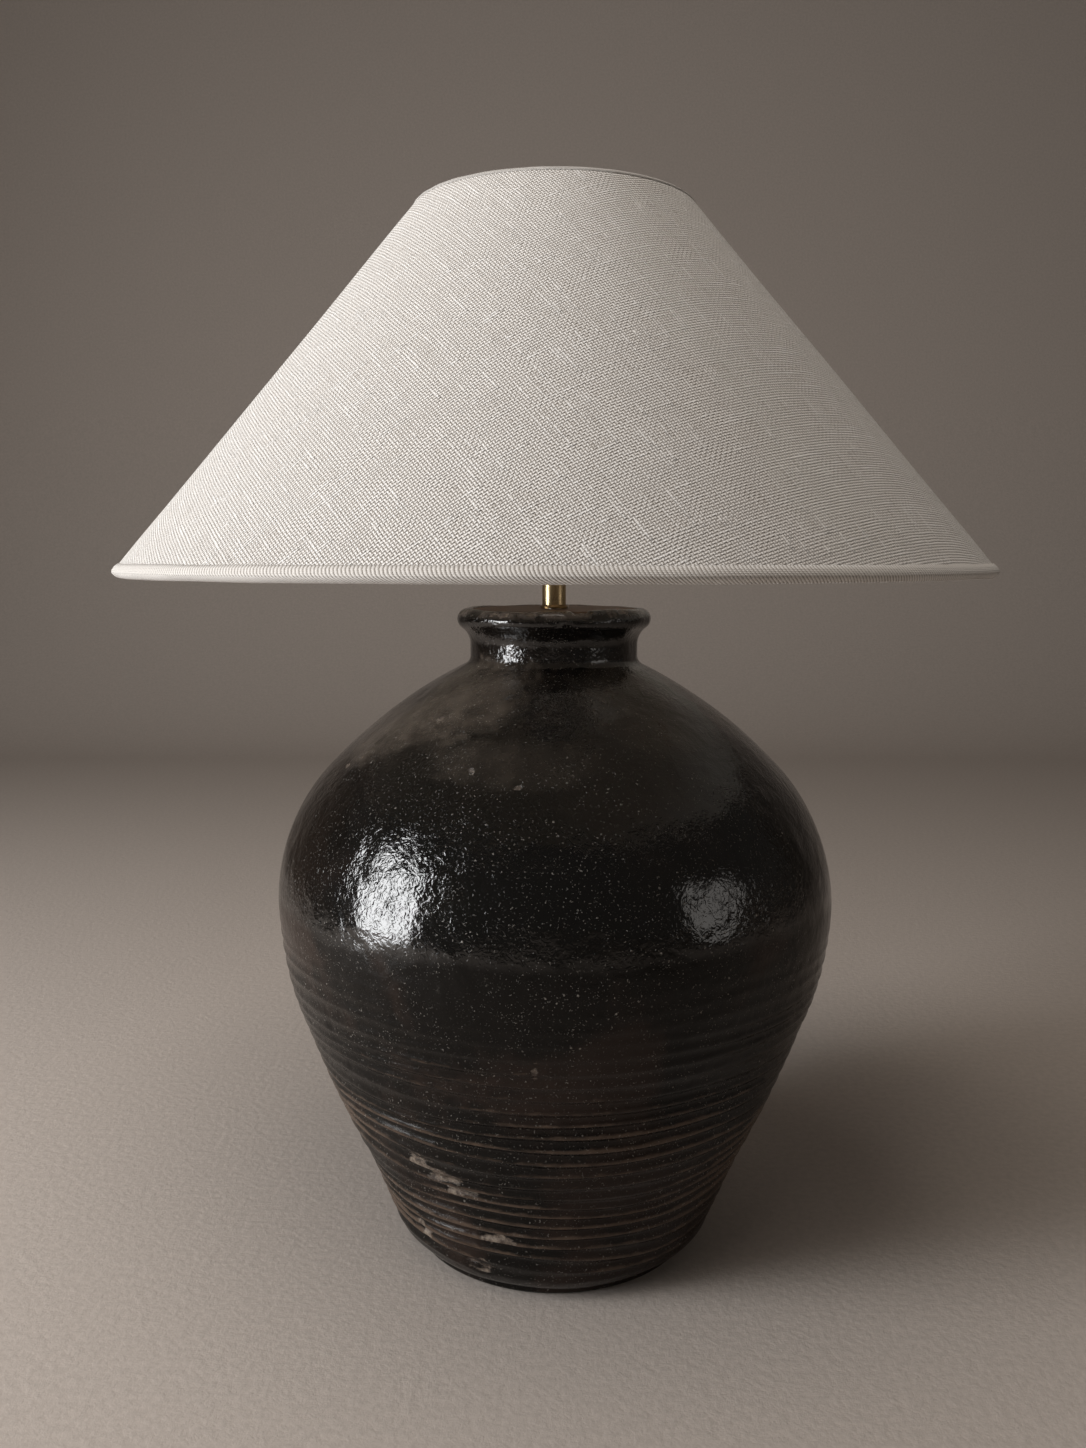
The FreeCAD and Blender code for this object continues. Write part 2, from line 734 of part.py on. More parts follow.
def make_switch():
    """Turn switch: a steel shaft out of the block and a fluted knob on it, both along -Y."""
    shaft_base = "-knob_back + shaft_depth"
    shaft_end = "knob_back + knob_length - knob_round * 2"
    shaft = turned_part("switch_shaft", ("0", "0"), ("shaft_radius", "0"),
                        ("shaft_radius", shaft_end + " - knob_back + shaft_depth"),
                        ("0", shaft_end + " - knob_back + shaft_depth"))
    knob = turned_part(
        "switch_knob", ("shaft_radius + fit", "0"), ("knob_radius", "0"),
        ("knob_radius", "knob_length - knob_round"),
        ("knob_radius - knob_round", "knob_length", {"radius": "knob_round", "sense": 1}),
        ("0", "knob_length"), ("0", "knob_length - knob_round"),
        ("shaft_radius + fit", "knob_length - knob_round"))
    flute_sketch = new_sketch(knob, "XY_Plane", "knob_length")
    circle(flute_sketch, "knob_radius + flute_offset", "0", "flute_radius")
    flute = pocket(knob, flute_sketch, "flute_length")
    ring_of(knob, flute, "flute_count")
    for body, place in ((shaft, shaft_base), (knob, "-knob_back")):
        body.Placement = Placement(Vector(0, -1, 1), Rotation(Vector(1, 0, 0), 90))
        bind(body, "Placement.Base.y", place)
        bind(body, "Placement.Base.z", "switch_level")


# ---------------------------------------------------------------- the bulb

def make_bulb():
    """Screw bulb: tip contact, glass insulator, threaded cap and frosted envelope."""
    turned_part("bulb_tip", ("0", "tip_base"), ("tip_flat_radius", "tip_base"),
                ("tip_radius", "insulator_base"), ("0", "insulator_base"))
    turned_part("bulb_insulator", ("0", "insulator_base"), ("tip_radius + slack", "insulator_base"),
                ("bulb_cap_radius - bulb_cap_wall", "bulb_cap_base"), ("0", "bulb_cap_base"))
    tube_part("bulb_cap", "bulb_cap_radius - bulb_cap_wall", "bulb_cap_radius",
              "bulb_cap_base", "bulb_cap_top")
    inner_neck = "glass_neck_radius - glass_wall"
    throat = "bulb_cap_top + glass_throat"
    turned_part(
        "bulb_glass", (inner_neck, "bulb_cap_top - bulb_cap_length / 2"),
        ("glass_neck_radius", "bulb_cap_top - bulb_cap_length / 2"),
        ("glass_neck_radius", "bulb_cap_top"),
        ("glass_neck_radius + glass_throat_flare", throat, {}),
        ("glass_radius", "glass_centre", {"level": "glass_centre"}),
        ("0", "glass_centre + glass_radius", {"level": "glass_centre"}),
        ("0", "glass_centre + glass_radius - glass_wall"),
        ("glass_radius - glass_wall", "glass_centre", {"level": "glass_centre"}),
        (inner_neck + " + glass_throat_flare", throat, {"level": "glass_centre"}),
        (inner_neck, "bulb_cap_top"))


# ---------------------------------------------------------------- the harp

def make_saddle():
    """Pressed steel saddle under the socket: a plate with two upturned ears and narrow prongs."""
    body = new_body("harp_saddle")
    sketch = new_sketch(body)
    inside = "ear_face - saddle_thickness"
    tip = "ear_top + prong_height"
    outline(sketch, ("-(ear_face)", "tube_top"), ("ear_face", "tube_top"), ("ear_face", tip),
            (inside, tip), (inside, "saddle_top"), ("-(%s)" % inside, "saddle_top"),
            ("-(%s)" % inside, tip), ("-(ear_face)", tip))
    pad(body, sketch, "saddle_width", centred=True)
    hole = new_sketch(body, "XY_Plane", "saddle_top")
    circle(hole, "0", "0", "pipe_radius + slack")
    pocket(body, hole, "saddle_thickness")
    for side in ("", "-"):
        trim_ear(body, side, "saddle_top", "ear_width / 2")
        trim_ear(body, side, "ear_top", "prong_width / 2")


def trim_ear(body, side, base, half_width):
    """Narrow the ears to a half width on one side of the strip, from a level up to their tips."""
    sketch = new_sketch(body, "YZ_Plane")
    outer, inner = side + "saddle_width", side + half_width
    top = "ear_top + 2 * prong_height"
    outline(sketch, (inner, base), (outer, base), (outer, top), (inner, top))
    pocket(body, sketch, "4 * leg_spread", centred=True)


def harp_path(sketch):
    """Draw one side of the harp from the leg's foot to the top."""
    bend_across = "(leg_spread + harp_half_width) / 2"
    bend_up = "(harp_bend + harp_side) / 2"
    outline(sketch, ("leg_spread", "harp_base"), ("leg_spread", "harp_bend"),
            (bend_across, bend_up, {}), ("harp_half_width", "harp_side", {}),
            ("harp_half_width", "harp_spring"), ("0", "harp_top", {}), closed=False)


def make_harp():
    """Bent brass wire harp, swept on one side and mirrored, and its riveted stud."""
    body = new_body("harp")
    path = new_sketch(body)
    harp_path(path)
    section = new_sketch(body, "XY_Plane", "harp_base")
    circle(section, "leg_spread", "0", "harp_wire_radius")
    doc.recompute()
    wire = body.newObject("PartDesign::AdditivePipe", "Wire")
    wire.Profile = section
    wire.Spine = path
    doc.recompute()
    mirror = body.newObject("PartDesign::Mirrored", "OtherSide")
    mirror.Originals = [wire]
    plane = [each for each in body.Origin.OriginFeatures if each.Role == "YZ_Plane"][0]
    mirror.MirrorPlane = (plane, [""])
    body.Tip = mirror
    doc.recompute()
    stud = turned_part(
        "harp_stud", ("0", "collar_base"),
        ("stud_collar_radius - stud_chamfer", "collar_base"),
        ("stud_collar_radius", "collar_base + stud_chamfer"), ("stud_collar_radius", "hub_base"),
        ("stud_radius", "hub_base"), ("stud_radius", "stud_top - stud_chamfer"),
        ("stud_radius - stud_chamfer", "stud_top"), ("0", "stud_top"))
    sag = "stud_collar_radius ^ 2 / (4 * harp_half_width)"
    hole = new_sketch(stud, "YZ_Plane")
    circle(hole, "0", "harp_top - " + sag, "harp_wire_radius + fit + " + sag)
    pocket(stud, hole, "4 * stud_collar_radius", centred=True)
    for name, side in (("ferrule_left", "-"), ("ferrule_right", "")):
        make_ferrule(name, side)


def make_ferrule(label, side):
    """Sliding sleeve that locks one leg of the harp to its prong."""
    body = tube_part(label, "ferrule_bore_radius", "ferrule_bore_radius + ferrule_wall",
                     "harp_base", "harp_base + ferrule_length")
    bind(body, "Placement.Base.x", side + "ferrule_centre")


# ---------------------------------------------------------------- the shade

def on_slope(along, out, from_top=False):
    """Return the corner that lies along the shade's slope and out from its face."""
    if from_top:
        return ("shade_top_radius - (%s) * lean + (%s) * rise" % (along, out),
                "shade_top + (%s) * rise + (%s) * lean" % (along, out))
    return ("shade_bottom_radius - (%s) * lean + (%s) * rise" % (along, out),
            "shade_base + (%s) * rise + (%s) * lean" % (along, out))


def make_shade():
    """Linen on a stiff liner, wire rings in both edges, rolled hems and a sunk spider."""
    back = "-cover_thickness"
    liner_face, liner_back = "-cover_thickness - glue_gap", "-skin"
    turned_part("shade_cover", on_slope("0", back), on_slope("0", "0"),
                on_slope("0", "0", True), on_slope("0", back, True))
    turned_part("shade_liner", on_slope("0", liner_back), on_slope("0", liner_face),
                on_slope("0", liner_face, True), on_slope("0", liner_back, True))
    wire_ring("shade_base_ring", "base_ring_radius", "base_ring_level")
    wire_ring("shade_top_ring", "top_ring_radius", "top_ring_level")
    hem("shade_base_hem", "hem_height", "hem_height", False)
    hem("shade_top_hem", "top_hem_height", "top_hem_return", True)
    make_spider()


def wire_ring(label, radius, level):
    """Make a ring of round wire."""
    body = new_body(label)
    sketch = new_sketch(body)
    circle(sketch, radius, level, "ring_wire_radius")
    revolve(body, sketch)


def hem(label, height, turned_in, at_top):
    """Make the rolled linen channel that wraps one edge of the shade and its wire."""
    sign = "-" if at_top else ""
    face, back = "glue_gap", "-ring_depth - ring_wire_radius - glue_gap"
    edge = sign + "(-glue_gap)"
    rim = sign + "(-glue_gap - hem_thickness)"
    deep, middle = sign + "(%s)" % height, sign + "(%s / 2)" % height
    inside = sign + "(%s)" % turned_in
    outer = "glue_gap + hem_thickness"
    inner = back + " - hem_thickness"
    turned_part(label, *[on_slope(along, out, at_top) for along, out in (
        (deep, outer), (middle, outer + " + hem_bulge"), (rim, face), (rim, back),
        (inside, inner), (inside, back), (edge, back), (edge, face), (deep, face))])


def make_spider():
    """Washer on the harp's stud with wire arms curving up to the shade's top ring."""
    body = new_body("shade_spider")
    sketch = new_sketch(body)
    bore = "stud_radius + slack"
    outline(sketch, (bore, "hub_base"), ("hub_radius", "hub_base"), ("hub_radius", "hub_top"),
            (bore, "hub_top"))
    revolve(body, sketch)
    level = "hub_base + ring_wire_radius"
    path = new_sketch(body)
    outline(path, ("hub_radius - 1.5", level), ("top_ring_radius - arm_bend", level),
            ("top_ring_radius", level + " + arm_bend", {}),
            ("top_ring_radius", "top_ring_level - ring_wire_radius - weld_gap"), closed=False)
    section = new_sketch(body, "YZ_Plane", "hub_radius - 1.5")
    circle(section, "0", level, "ring_wire_radius")
    arm = body.newObject("PartDesign::AdditivePipe", "Arm")
    arm.Profile = section
    arm.Spine = path
    doc.recompute()
    ring_of(body, arm, "arm_count")
    bind(body, "Placement.Rotation.Angle", "90")


# ---------------------------------------------------------------- the finial

def make_finial():
    """Turned brass finial on a threaded insert that runs on the harp's stud."""
    tube_part("finial_insert", "stud_radius + running", "insert_radius",
              "hub_top", "hub_top + insert_height")
    waist = "hub_top + finial_base_height"
    top = "hub_top + finial_height"
    ball = top + " - finial_ball_radius"
    bore = "insert_radius + fit"
    turned_part(
        "finial", (bore, "hub_top"), ("finial_base_radius", "hub_top"),
        ("finial_base_radius", "hub_top + finial_base_height / 2"),
        ("finial_waist_radius + finial_waist_flare", waist,
         {"radius": "finial_base_height", "sense": 1}),
        ("finial_waist_radius", waist + " + finial_waist_height"),
        ("finial_ball_radius", ball, {"level": ball}),
        ("0", top, {"level": ball}),
        ("0", "stud_top + slack"),
        ("stud_radius + slack", "stud_top + slack"),
        ("stud_radius + slack", "hub_top + insert_height + fit"),
        (bore, "hub_top + insert_height + fit"))


def export():
    """Check every object and write one file for each sub-part."""
    doc.recompute()
    for each in doc.Objects:
        if "Invalid" in each.State or "Error" in each.State:
            raise RuntimeError("%s (%s) is %s" % (each.Name, each.Label, each.State))
    os.makedirs("parts", exist_ok=True)
    for each in subparts:
        if each.Shape.isNull() or not each.Shape.isValid():
            raise RuntimeError("the shape of %s is not valid" % each.Label)
        each.Shape.exportStep("parts/%s.step" % each.Label)
    print("%d sub-parts written" % len(subparts))


make_jar()
make_grommet()
make_felt()
make_wood_cap()
make_clamp()
make_neck()
make_socket()
make_switch()
make_bulb()
make_saddle()
make_harp()
make_shade()
make_finial()
export()
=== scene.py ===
"""The looks of a ginger jar table lamp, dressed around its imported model.

The model's own pieces stay where they are and get finishes. The jar, its wooden cap, the linen skin
and the two rolled hems are modelled again here, with the throwing ridges, lumps, chips and slack
edges that the plain solids leave out. Lengths in the classes are millimetres, as on a drawing,
except in the studio.
"""

import logging
import math
from collections.abc import Callable, Mapping, Sequence
from dataclasses import dataclass, field
from enum import Enum
from typing import Any

import bpy
import numpy as np
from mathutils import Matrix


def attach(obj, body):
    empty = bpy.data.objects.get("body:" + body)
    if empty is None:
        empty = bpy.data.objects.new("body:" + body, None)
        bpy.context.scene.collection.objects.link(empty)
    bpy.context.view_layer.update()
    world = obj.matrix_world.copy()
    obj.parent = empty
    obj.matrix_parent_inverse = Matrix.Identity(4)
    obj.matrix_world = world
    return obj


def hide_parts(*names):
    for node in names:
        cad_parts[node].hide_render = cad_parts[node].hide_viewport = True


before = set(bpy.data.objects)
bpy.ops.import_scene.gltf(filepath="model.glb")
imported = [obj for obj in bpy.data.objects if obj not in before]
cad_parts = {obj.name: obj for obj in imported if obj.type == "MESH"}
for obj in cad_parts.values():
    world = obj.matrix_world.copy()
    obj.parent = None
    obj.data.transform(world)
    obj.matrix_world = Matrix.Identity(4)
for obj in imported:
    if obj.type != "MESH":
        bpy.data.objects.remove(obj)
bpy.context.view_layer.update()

MM = 0.001
NOTHING = 1e-9
PHOTO_WIDTH, PHOTO_HEIGHT = 1086, 1448
LOG = logging.getLogger("lamp")
Colour = tuple[float, float, float]
Point = tuple[float, float]
Span = tuple[float, float]
Array = np.ndarray
Object = bpy.types.Object
Material = bpy.types.Material


# ------------------------ shader expressions

@dataclass(frozen=True)
class Signal:
    """A shader socket that takes Python arithmetic on plain values."""

    tree: bpy.types.NodeTree
    socket: bpy.types.NodeSocket

    def _math(self, operation: str, other: Any = None, swapped: bool = False) -> "Signal":
        """Add one Math node.

        Args:
            operation: the node's operation.
            other: the second value or signal, if the operation takes one.
            swapped: whether the other value comes first.

        Returns:
            The node's result.
        """
        node = self.tree.nodes.new("ShaderNodeMath")
        node.operation = operation
        values = [self] if other is None else [self, other]
        for slot, value in zip(node.inputs, reversed(values) if swapped else values):
            connect(self.tree, slot, value)
        return Signal(self.tree, node.outputs[0])

    def __add__(self, other: Any) -> "Signal":
        """Add a value."""
        return self._math("ADD", other)

    __radd__ = __add__

    def __sub__(self, other: Any) -> "Signal":
        """Take a value away."""
        return self._math("SUBTRACT", other)

    def __rsub__(self, other: Any) -> "Signal":
        """Take this signal away from a value."""
        return self._math("SUBTRACT", other, swapped=True)

    def __mul__(self, other: Any) -> "Signal":
        """Multiply by a value."""
        return self._math("MULTIPLY", other)

    def __truediv__(self, other: Any) -> "Signal":
        """Divide by a value."""
        return self._math("DIVIDE", other)

    def __pow__(self, other: Any) -> "Signal":
        """Raise to a power."""
        return self._math("POWER", other)

    def __abs__(self) -> "Signal":
        """Drop the sign."""
        return self._math("ABSOLUTE")

    def sine(self) -> "Signal":
        """Take the sine of an angle in radians."""
        return self._math("SINE")

    def cosine(self) -> "Signal":
        """Take the cosine of an angle in radians."""
        return self._math("COSINE")

    def floor(self) -> "Signal":
        """Round down to a whole number."""
        return self._math("FLOOR")

    def angle_to(self, other: Any) -> "Signal":
        """Return the angle whose tangent is this signal over the other."""
        return self._math("ARCTAN2", other)

    def at_most(self, other: Any) -> "Signal":
        """Take the smaller of two values."""
        return self._math("MINIMUM", other)


def connect(tree: bpy.types.NodeTree, slot: bpy.types.NodeSocket, value: Any) -> None:
    """Link a signal to a socket, or set the socket to a plain value.

    Args:
        tree: the node tree of both.
        slot: the input socket.
        value: a signal, a number, or a colour of three numbers.
    """
    if isinstance(value, Signal):
        tree.links.new(value.socket, slot)
    elif slot.type == "RGBA" and len(value) == 3:
        slot.default_value = (*value, 1.0)
    else:
        slot.default_value = value


class Shader:
    """A material's node tree, built by Python expressions."""

    def __init__(self, name: str) -> None:
        """Start an empty material of the given name."""
        self.material = bpy.data.materials.new(name)
        self.material.use_nodes = True
        self.tree = self.material.node_tree
        self.tree.nodes.clear()

    def node(self, kind: str, settings: Mapping[str, Any] | None = None,
             sockets: Mapping[Any, Any] | None = None) -> bpy.types.Node:
        """Add any node.

        Args:
            kind: the node's type.
            settings: its settings, set first.
            sockets: values or signals by socket name or number.

        Returns:
            The node.
        """
        node = self.tree.nodes.new(kind)
        for name, value in (settings or {}).items():
            setattr(node, name, value)
        for name, value in (sockets or {}).items():
            connect(self.tree, node.inputs[name], value)
        return node

    def out(self, node: bpy.types.Node, name: Any = 0) -> Signal:
        """Return one of a node's outputs as a signal."""
        return Signal(self.tree, node.outputs[name])

    def place(self) -> Signal:
        """Return the point on the piece, in metres of the lamp's own frame."""
        return self.out(self.node("ShaderNodeTexCoord"), "Object")

    def parts(self, vector: Signal) -> tuple[Signal, Signal, Signal]:
        """Split a vector into its three values."""
        node = self.node("ShaderNodeSeparateXYZ", sockets={0: vector})
        return self.out(node, 0), self.out(node, 1), self.out(node, 2)

    def vector(self, x: Any, y: Any, z: Any) -> Signal:
        """Join three values into a vector."""
        return self.out(self.node("ShaderNodeCombineXYZ", sockets={0: x, 1: y, 2: z}))

    def stretched(self, vector: Signal, scale: tuple[float, float, float]) -> Signal:
        """Scale a vector by three factors."""
        node = self.node("ShaderNodeVectorMath", {"operation": "MULTIPLY"},
                         {0: vector, 1: scale})
        return self.out(node)

    def noise(self, vector: Signal, scale: float, detail: float = 2.0,
              roughness: float = 0.5, distortion: float = 0.0) -> Signal:
        """Return smooth noise about 0.5.

        Args:
            vector: where the noise is read.
            scale: lumps in a unit of the vector.
            detail: octaves.
            roughness: how strong the finer octaves are.
            distortion: how far the lumps are dragged.

        Returns:
            The noise.
        """
        node = self.node("ShaderNodeTexNoise", sockets={
            "Vector": vector, "Scale": scale, "Detail": detail, "Roughness": roughness,
            "Distortion": distortion})
        return self.out(node, 0)

    def cells(self, vector: Signal, scale: float) -> Signal:
        """Return the distance to the nearest of many scattered points."""
        node = self.node("ShaderNodeTexVoronoi", sockets={"Vector": vector, "Scale": scale})
        return self.out(node, "Distance")

    def step(self, value: Signal, low: float, high: float) -> Signal:
        """Rise smoothly from 0 at low to 1 at high."""
        node = self.node("ShaderNodeMapRange", {"interpolation_type": "SMOOTHSTEP"},
                         {"Value": value, "From Min": low, "From Max": high})
        return self.out(node)

    def mix(self, factor: Any, first: Any, second: Any) -> Signal:
        """Blend two colours.

        Args:
            factor: how much of the second colour.
            first: a colour or signal.
            second: a colour or signal.

        Returns:
            The blended colour.
        """
        node = self.node("ShaderNodeMix", {"data_type": "RGBA"}, {0: factor, 6: first, 7: second})
        return self.out(node, 2)

    def ramp(self, factor: Signal, stops: Sequence[tuple[float, Colour]]) -> Signal:
        """Turn a value into a colour by a ramp, its stops given in rising order."""
        node = self.node("ShaderNodeValToRGB", sockets={0: factor})
        elements = node.color_ramp.elements
        while len(elements) < len(stops):
            elements.new(1.0)
        for element, (position, colour) in zip(elements, stops):
            element.position = position
            element.color = (*colour, 1.0)
        return self.out(node)

    def painted(self, name: str) -> Signal:
        """Read a value that the mesh carries at its points."""
        return self.out(self.node("ShaderNodeAttribute", {"attribute_name": name}), "Fac")

    def bump(self, height: Signal, depth: float, after: Signal | None = None) -> Signal:
        """Turn a height into a bent normal.

        Args:
            height: the height, 1 standing for the depth.
            depth: the relief in millimetres.
            after: the normal of a coarser relief, if there is one.

        Returns:
            The normal.
        """
        sockets: dict[str, Any] = {"Height": height, "Distance": depth * MM, "Strength": 1.0}
        if after is not None:
            sockets["Normal"] = after
        return self.out(self.node("ShaderNodeBump", sockets=sockets))

    def finish(self, sockets: Mapping[str, Any], second: Mapping[str, Any] | None = None,
               share: Any = 0.0) -> Material:
        """Close the material with a principled surface, or a blend of two.

        Args:
            sockets: values or signals by the surface's socket names.
            second: what differs on a second surface, if there is one.
            share: how much of the second surface shows.

        Returns:
            The material.
        """
        surface = self.node("ShaderNodeBsdfPrincipled", sockets=sockets)
        if second:
            other = self.node("ShaderNodeBsdfPrincipled", sockets={**sockets, **second})
            blend = self.node("ShaderNodeMixShader", sockets={0: share})
            self.tree.links.new(surface.outputs[0], blend.inputs[1])
            self.tree.links.new(other.outputs[0], blend.inputs[2])
            surface = blend
        output = self.node("ShaderNodeOutputMaterial")
        self.tree.links.new(surface.outputs[0], output.inputs[0])
        return self.material


# ------------------------ finishes
# Noise scales are lumps to the metre, unless the vector is stretched; depths are millimetres.

@dataclass(frozen=True)
class JarGlaze:
    """Black-brown glaze, glossy above the waist, satin with worn ridges below it."""

    black: Colour = (0.0030, 0.0027, 0.0024)
    brown: Colour = (0.0115, 0.0080, 0.0062)
    satin: Colour = (0.0038, 0.0033, 0.0028)
    rust: Colour = (0.0180, 0.0112, 0.0085)
    rubbed: Colour = (0.105, 0.072, 0.052)
    bare: Colour = (0.235, 0.19, 0.15)
    clay: Colour = (0.060, 0.044, 0.035)
    lip: Colour = (0.125, 0.103, 0.088)
    dust: Colour = (0.33, 0.305, 0.27)
    # A pale film on the shoulder, partly a dull film on the glaze, partly a painted reflection of the
    # shade's lit inside.
    film: Colour = (0.105, 0.085, 0.068)
    waist: float = 250.0
    waist_blur: float = 5.0
    waist_drift: float = 16.0
    thin_rim: Span = (431.0, 435.6)
    swell_depth: float = 1.5
    peel_depth: float = 0.38
    grit_depth: float = 0.12
    satin_index: float = 1.30
    gloss_index: float = 1.58

    def flecks(self, s: Shader, place: Signal, grit: Signal) -> Signal:
        """Scatter coarse and fine pale specks, thick in some places and thin in others."""
        crowd = s.noise(place, 30.0, 3.0, 0.6)
        coarse = 1 - s.step(s.cells(place, 85.0) + (grit - 0.5) * 0.12, 0.030, 0.075)
        fine = s.step(s.noise(place, 800.0, 2.0, 0.6), 0.640, 0.705)
        coarse = coarse * s.step(crowd, 0.40, 0.56) * 0.8
        fine = fine * s.step(crowd, 0.26, 0.60) * 0.7
        return (coarse + fine).at_most(1)

    def ground(self, s: Shader, place: Signal, gloss: Signal) -> Signal:
        """Cloud the glaze's own colour, apart above and below the waist."""
        cloud = s.noise(place, 9.0, 4.0, 0.6, 0.4)
        upper = s.mix(s.step(cloud, 0.42, 0.72), self.black, self.brown)
        lower = s.mix(s.step(cloud, 0.46, 0.62), self.satin, self.rust)
        return s.mix(gloss, lower, upper)

    def wear(self, s: Shader, place: Signal, ridge: Signal) -> tuple[Signal, Signal]:
        """Return how far the ridges' crests are rubbed, and where the glaze is off in streaks."""
        level_way = s.stretched(place, (1.0, 1.0, 3.0))
        scuff = s.noise(level_way, 60.0, 4.0, 0.7) - 0.5
        smear = s.noise(level_way, 110.0, 6.0, 0.8) - 0.5
        rub = s.step(ridge + scuff * 1.3, 0.50, 1.05)
        return rub, s.step(s.painted("wear") * (0.70 + ridge * 0.50) + smear * 2.4, 0.36, 0.90)

    def rim(self, s: Shader, place: Signal, up: Signal) -> Signal:
        """Return where the glaze has drawn thin on the lip."""
        ragged = s.step(s.noise(place, 70.0, 4.0, 0.7), 0.36, 0.58)
        base, top = self.thin_rim
        return s.step(up, base * MM, top * MM) * ragged

    def relief(self, s: Shader, place: Signal, gloss: Signal, small: Signal) -> Signal:
        """Bend the surface by broad swells, orange peel in patches and what is small."""
        swell = s.noise(place, 48.0, 2.0, 0.5, 0.3)
        peel = s.noise(place, 250.0, 1.5, 0.5, 1.6)
        patch = s.step(s.noise(place, 26.0, 2.0), 0.36, 0.66)
        peel = peel * (0.35 + gloss * 0.65) * (0.50 + patch * 0.8)
        normal = s.bump(peel, self.peel_depth, s.bump(swell, self.swell_depth))
        return s.bump(small, self.grit_depth, normal)

    def material(self) -> Material:
        """Build the glaze."""
        s = Shader("jar_glaze")
        place = s.place()
        _, _, up = s.parts(place)
        drift = (s.noise(place, 14.0, 3.0) - 0.5) * (self.waist_drift * MM)
        gloss = s.step(up + drift, (self.waist - self.waist_blur) * MM,
                       (self.waist + self.waist_blur) * MM)
        grit = s.noise(place, 900.0, 3.0, 0.7)
        flecks = self.flecks(s, place, grit)
        rub, worn = self.wear(s, place, s.painted("ridge"))
        # Painted reflection: the shade's lit inside, as seen in the glossy shoulder, is painted on as
        # a pale film, part of it a real dull film.
        film = s.painted("film") * s.step(s.noise(place, 40.0, 5.0, 0.6), 0.15, 0.75)
        clay = s.mix(s.step(s.noise(place, 210.0, 4.0, 0.75), 0.38, 0.68), self.clay, self.bare)
        haze = s.step(s.noise(place, 240.0, 5.0, 0.75), 0.60, 0.82) * (1.15 - gloss)
        colour = self.ground(s, place, gloss)
        for share, over in ((film * 0.9, self.film), (rub * 0.75, self.rubbed),
                            (self.rim(s, place, up), self.lip), (worn, clay),
                            (haze * 0.10, self.dust), (flecks * 0.8, self.dust)):
            colour = s.mix(share, colour, over)
        small = grit * (1.2 - gloss) + flecks * 1.6 - worn * 1.5
        smudge = s.step(s.noise(place, 7.0, 3.0, 0.6), 0.45, 0.75)
        rough = 0.18 - gloss * 0.09 + smudge * 0.05 + film * 0.12 + worn * 0.30
        rough = rough + (grit - 0.5) * 0.08 + flecks * 0.2
        return s.finish({"Base Color": colour, "Roughness": rough, "IOR": self.satin_index,
                         "Normal": self.relief(s, place, gloss, small)},
                        {"IOR": self.gloss_index}, gloss)


@dataclass(frozen=True)
class StainedWood:
    """Dark stained wood with fine grain along X and a rubbed rim."""

    dark: Colour = (0.030, 0.016, 0.010)
    light: Colour = (0.150, 0.080, 0.043)
    pores: Colour = (0.012, 0.007, 0.005)
    worn: Colour = (0.30, 0.20, 0.13)

    def material(self) -> Material:
        """Build the wood."""
        s = Shader("stained_wood")
        place = s.place()
        grain = s.noise(s.stretched(place, (1.0, 14.0, 3.0)), 34.0, 6.0, 0.65, 0.7)
        pore = s.noise(s.stretched(place, (1.0, 22.0, 8.0)), 95.0, 3.0, 0.7)
        colour = s.ramp(grain, [(0.30, self.dark), (0.55, self.light), (0.72, self.dark)])
        colour = s.mix(s.step(pore, 0.55, 0.72) * 0.7, colour, self.pores)
        rub = s.step(s.painted("wear") + (s.noise(place, 90.0, 4.0) - 0.5), 0.6, 0.95)
        colour = s.mix(rub * 0.5, colour, self.worn)
        return s.finish({"Base Color": colour, "Roughness": 0.50 + (grain - 0.5) * 0.25,
                         "Normal": s.bump(grain + pore * 0.5, 0.20)})


# The faint sheen of loose fibres on the linen.
NAP = {"Sheen Weight": 0.25, "Sheen Roughness": 0.5}


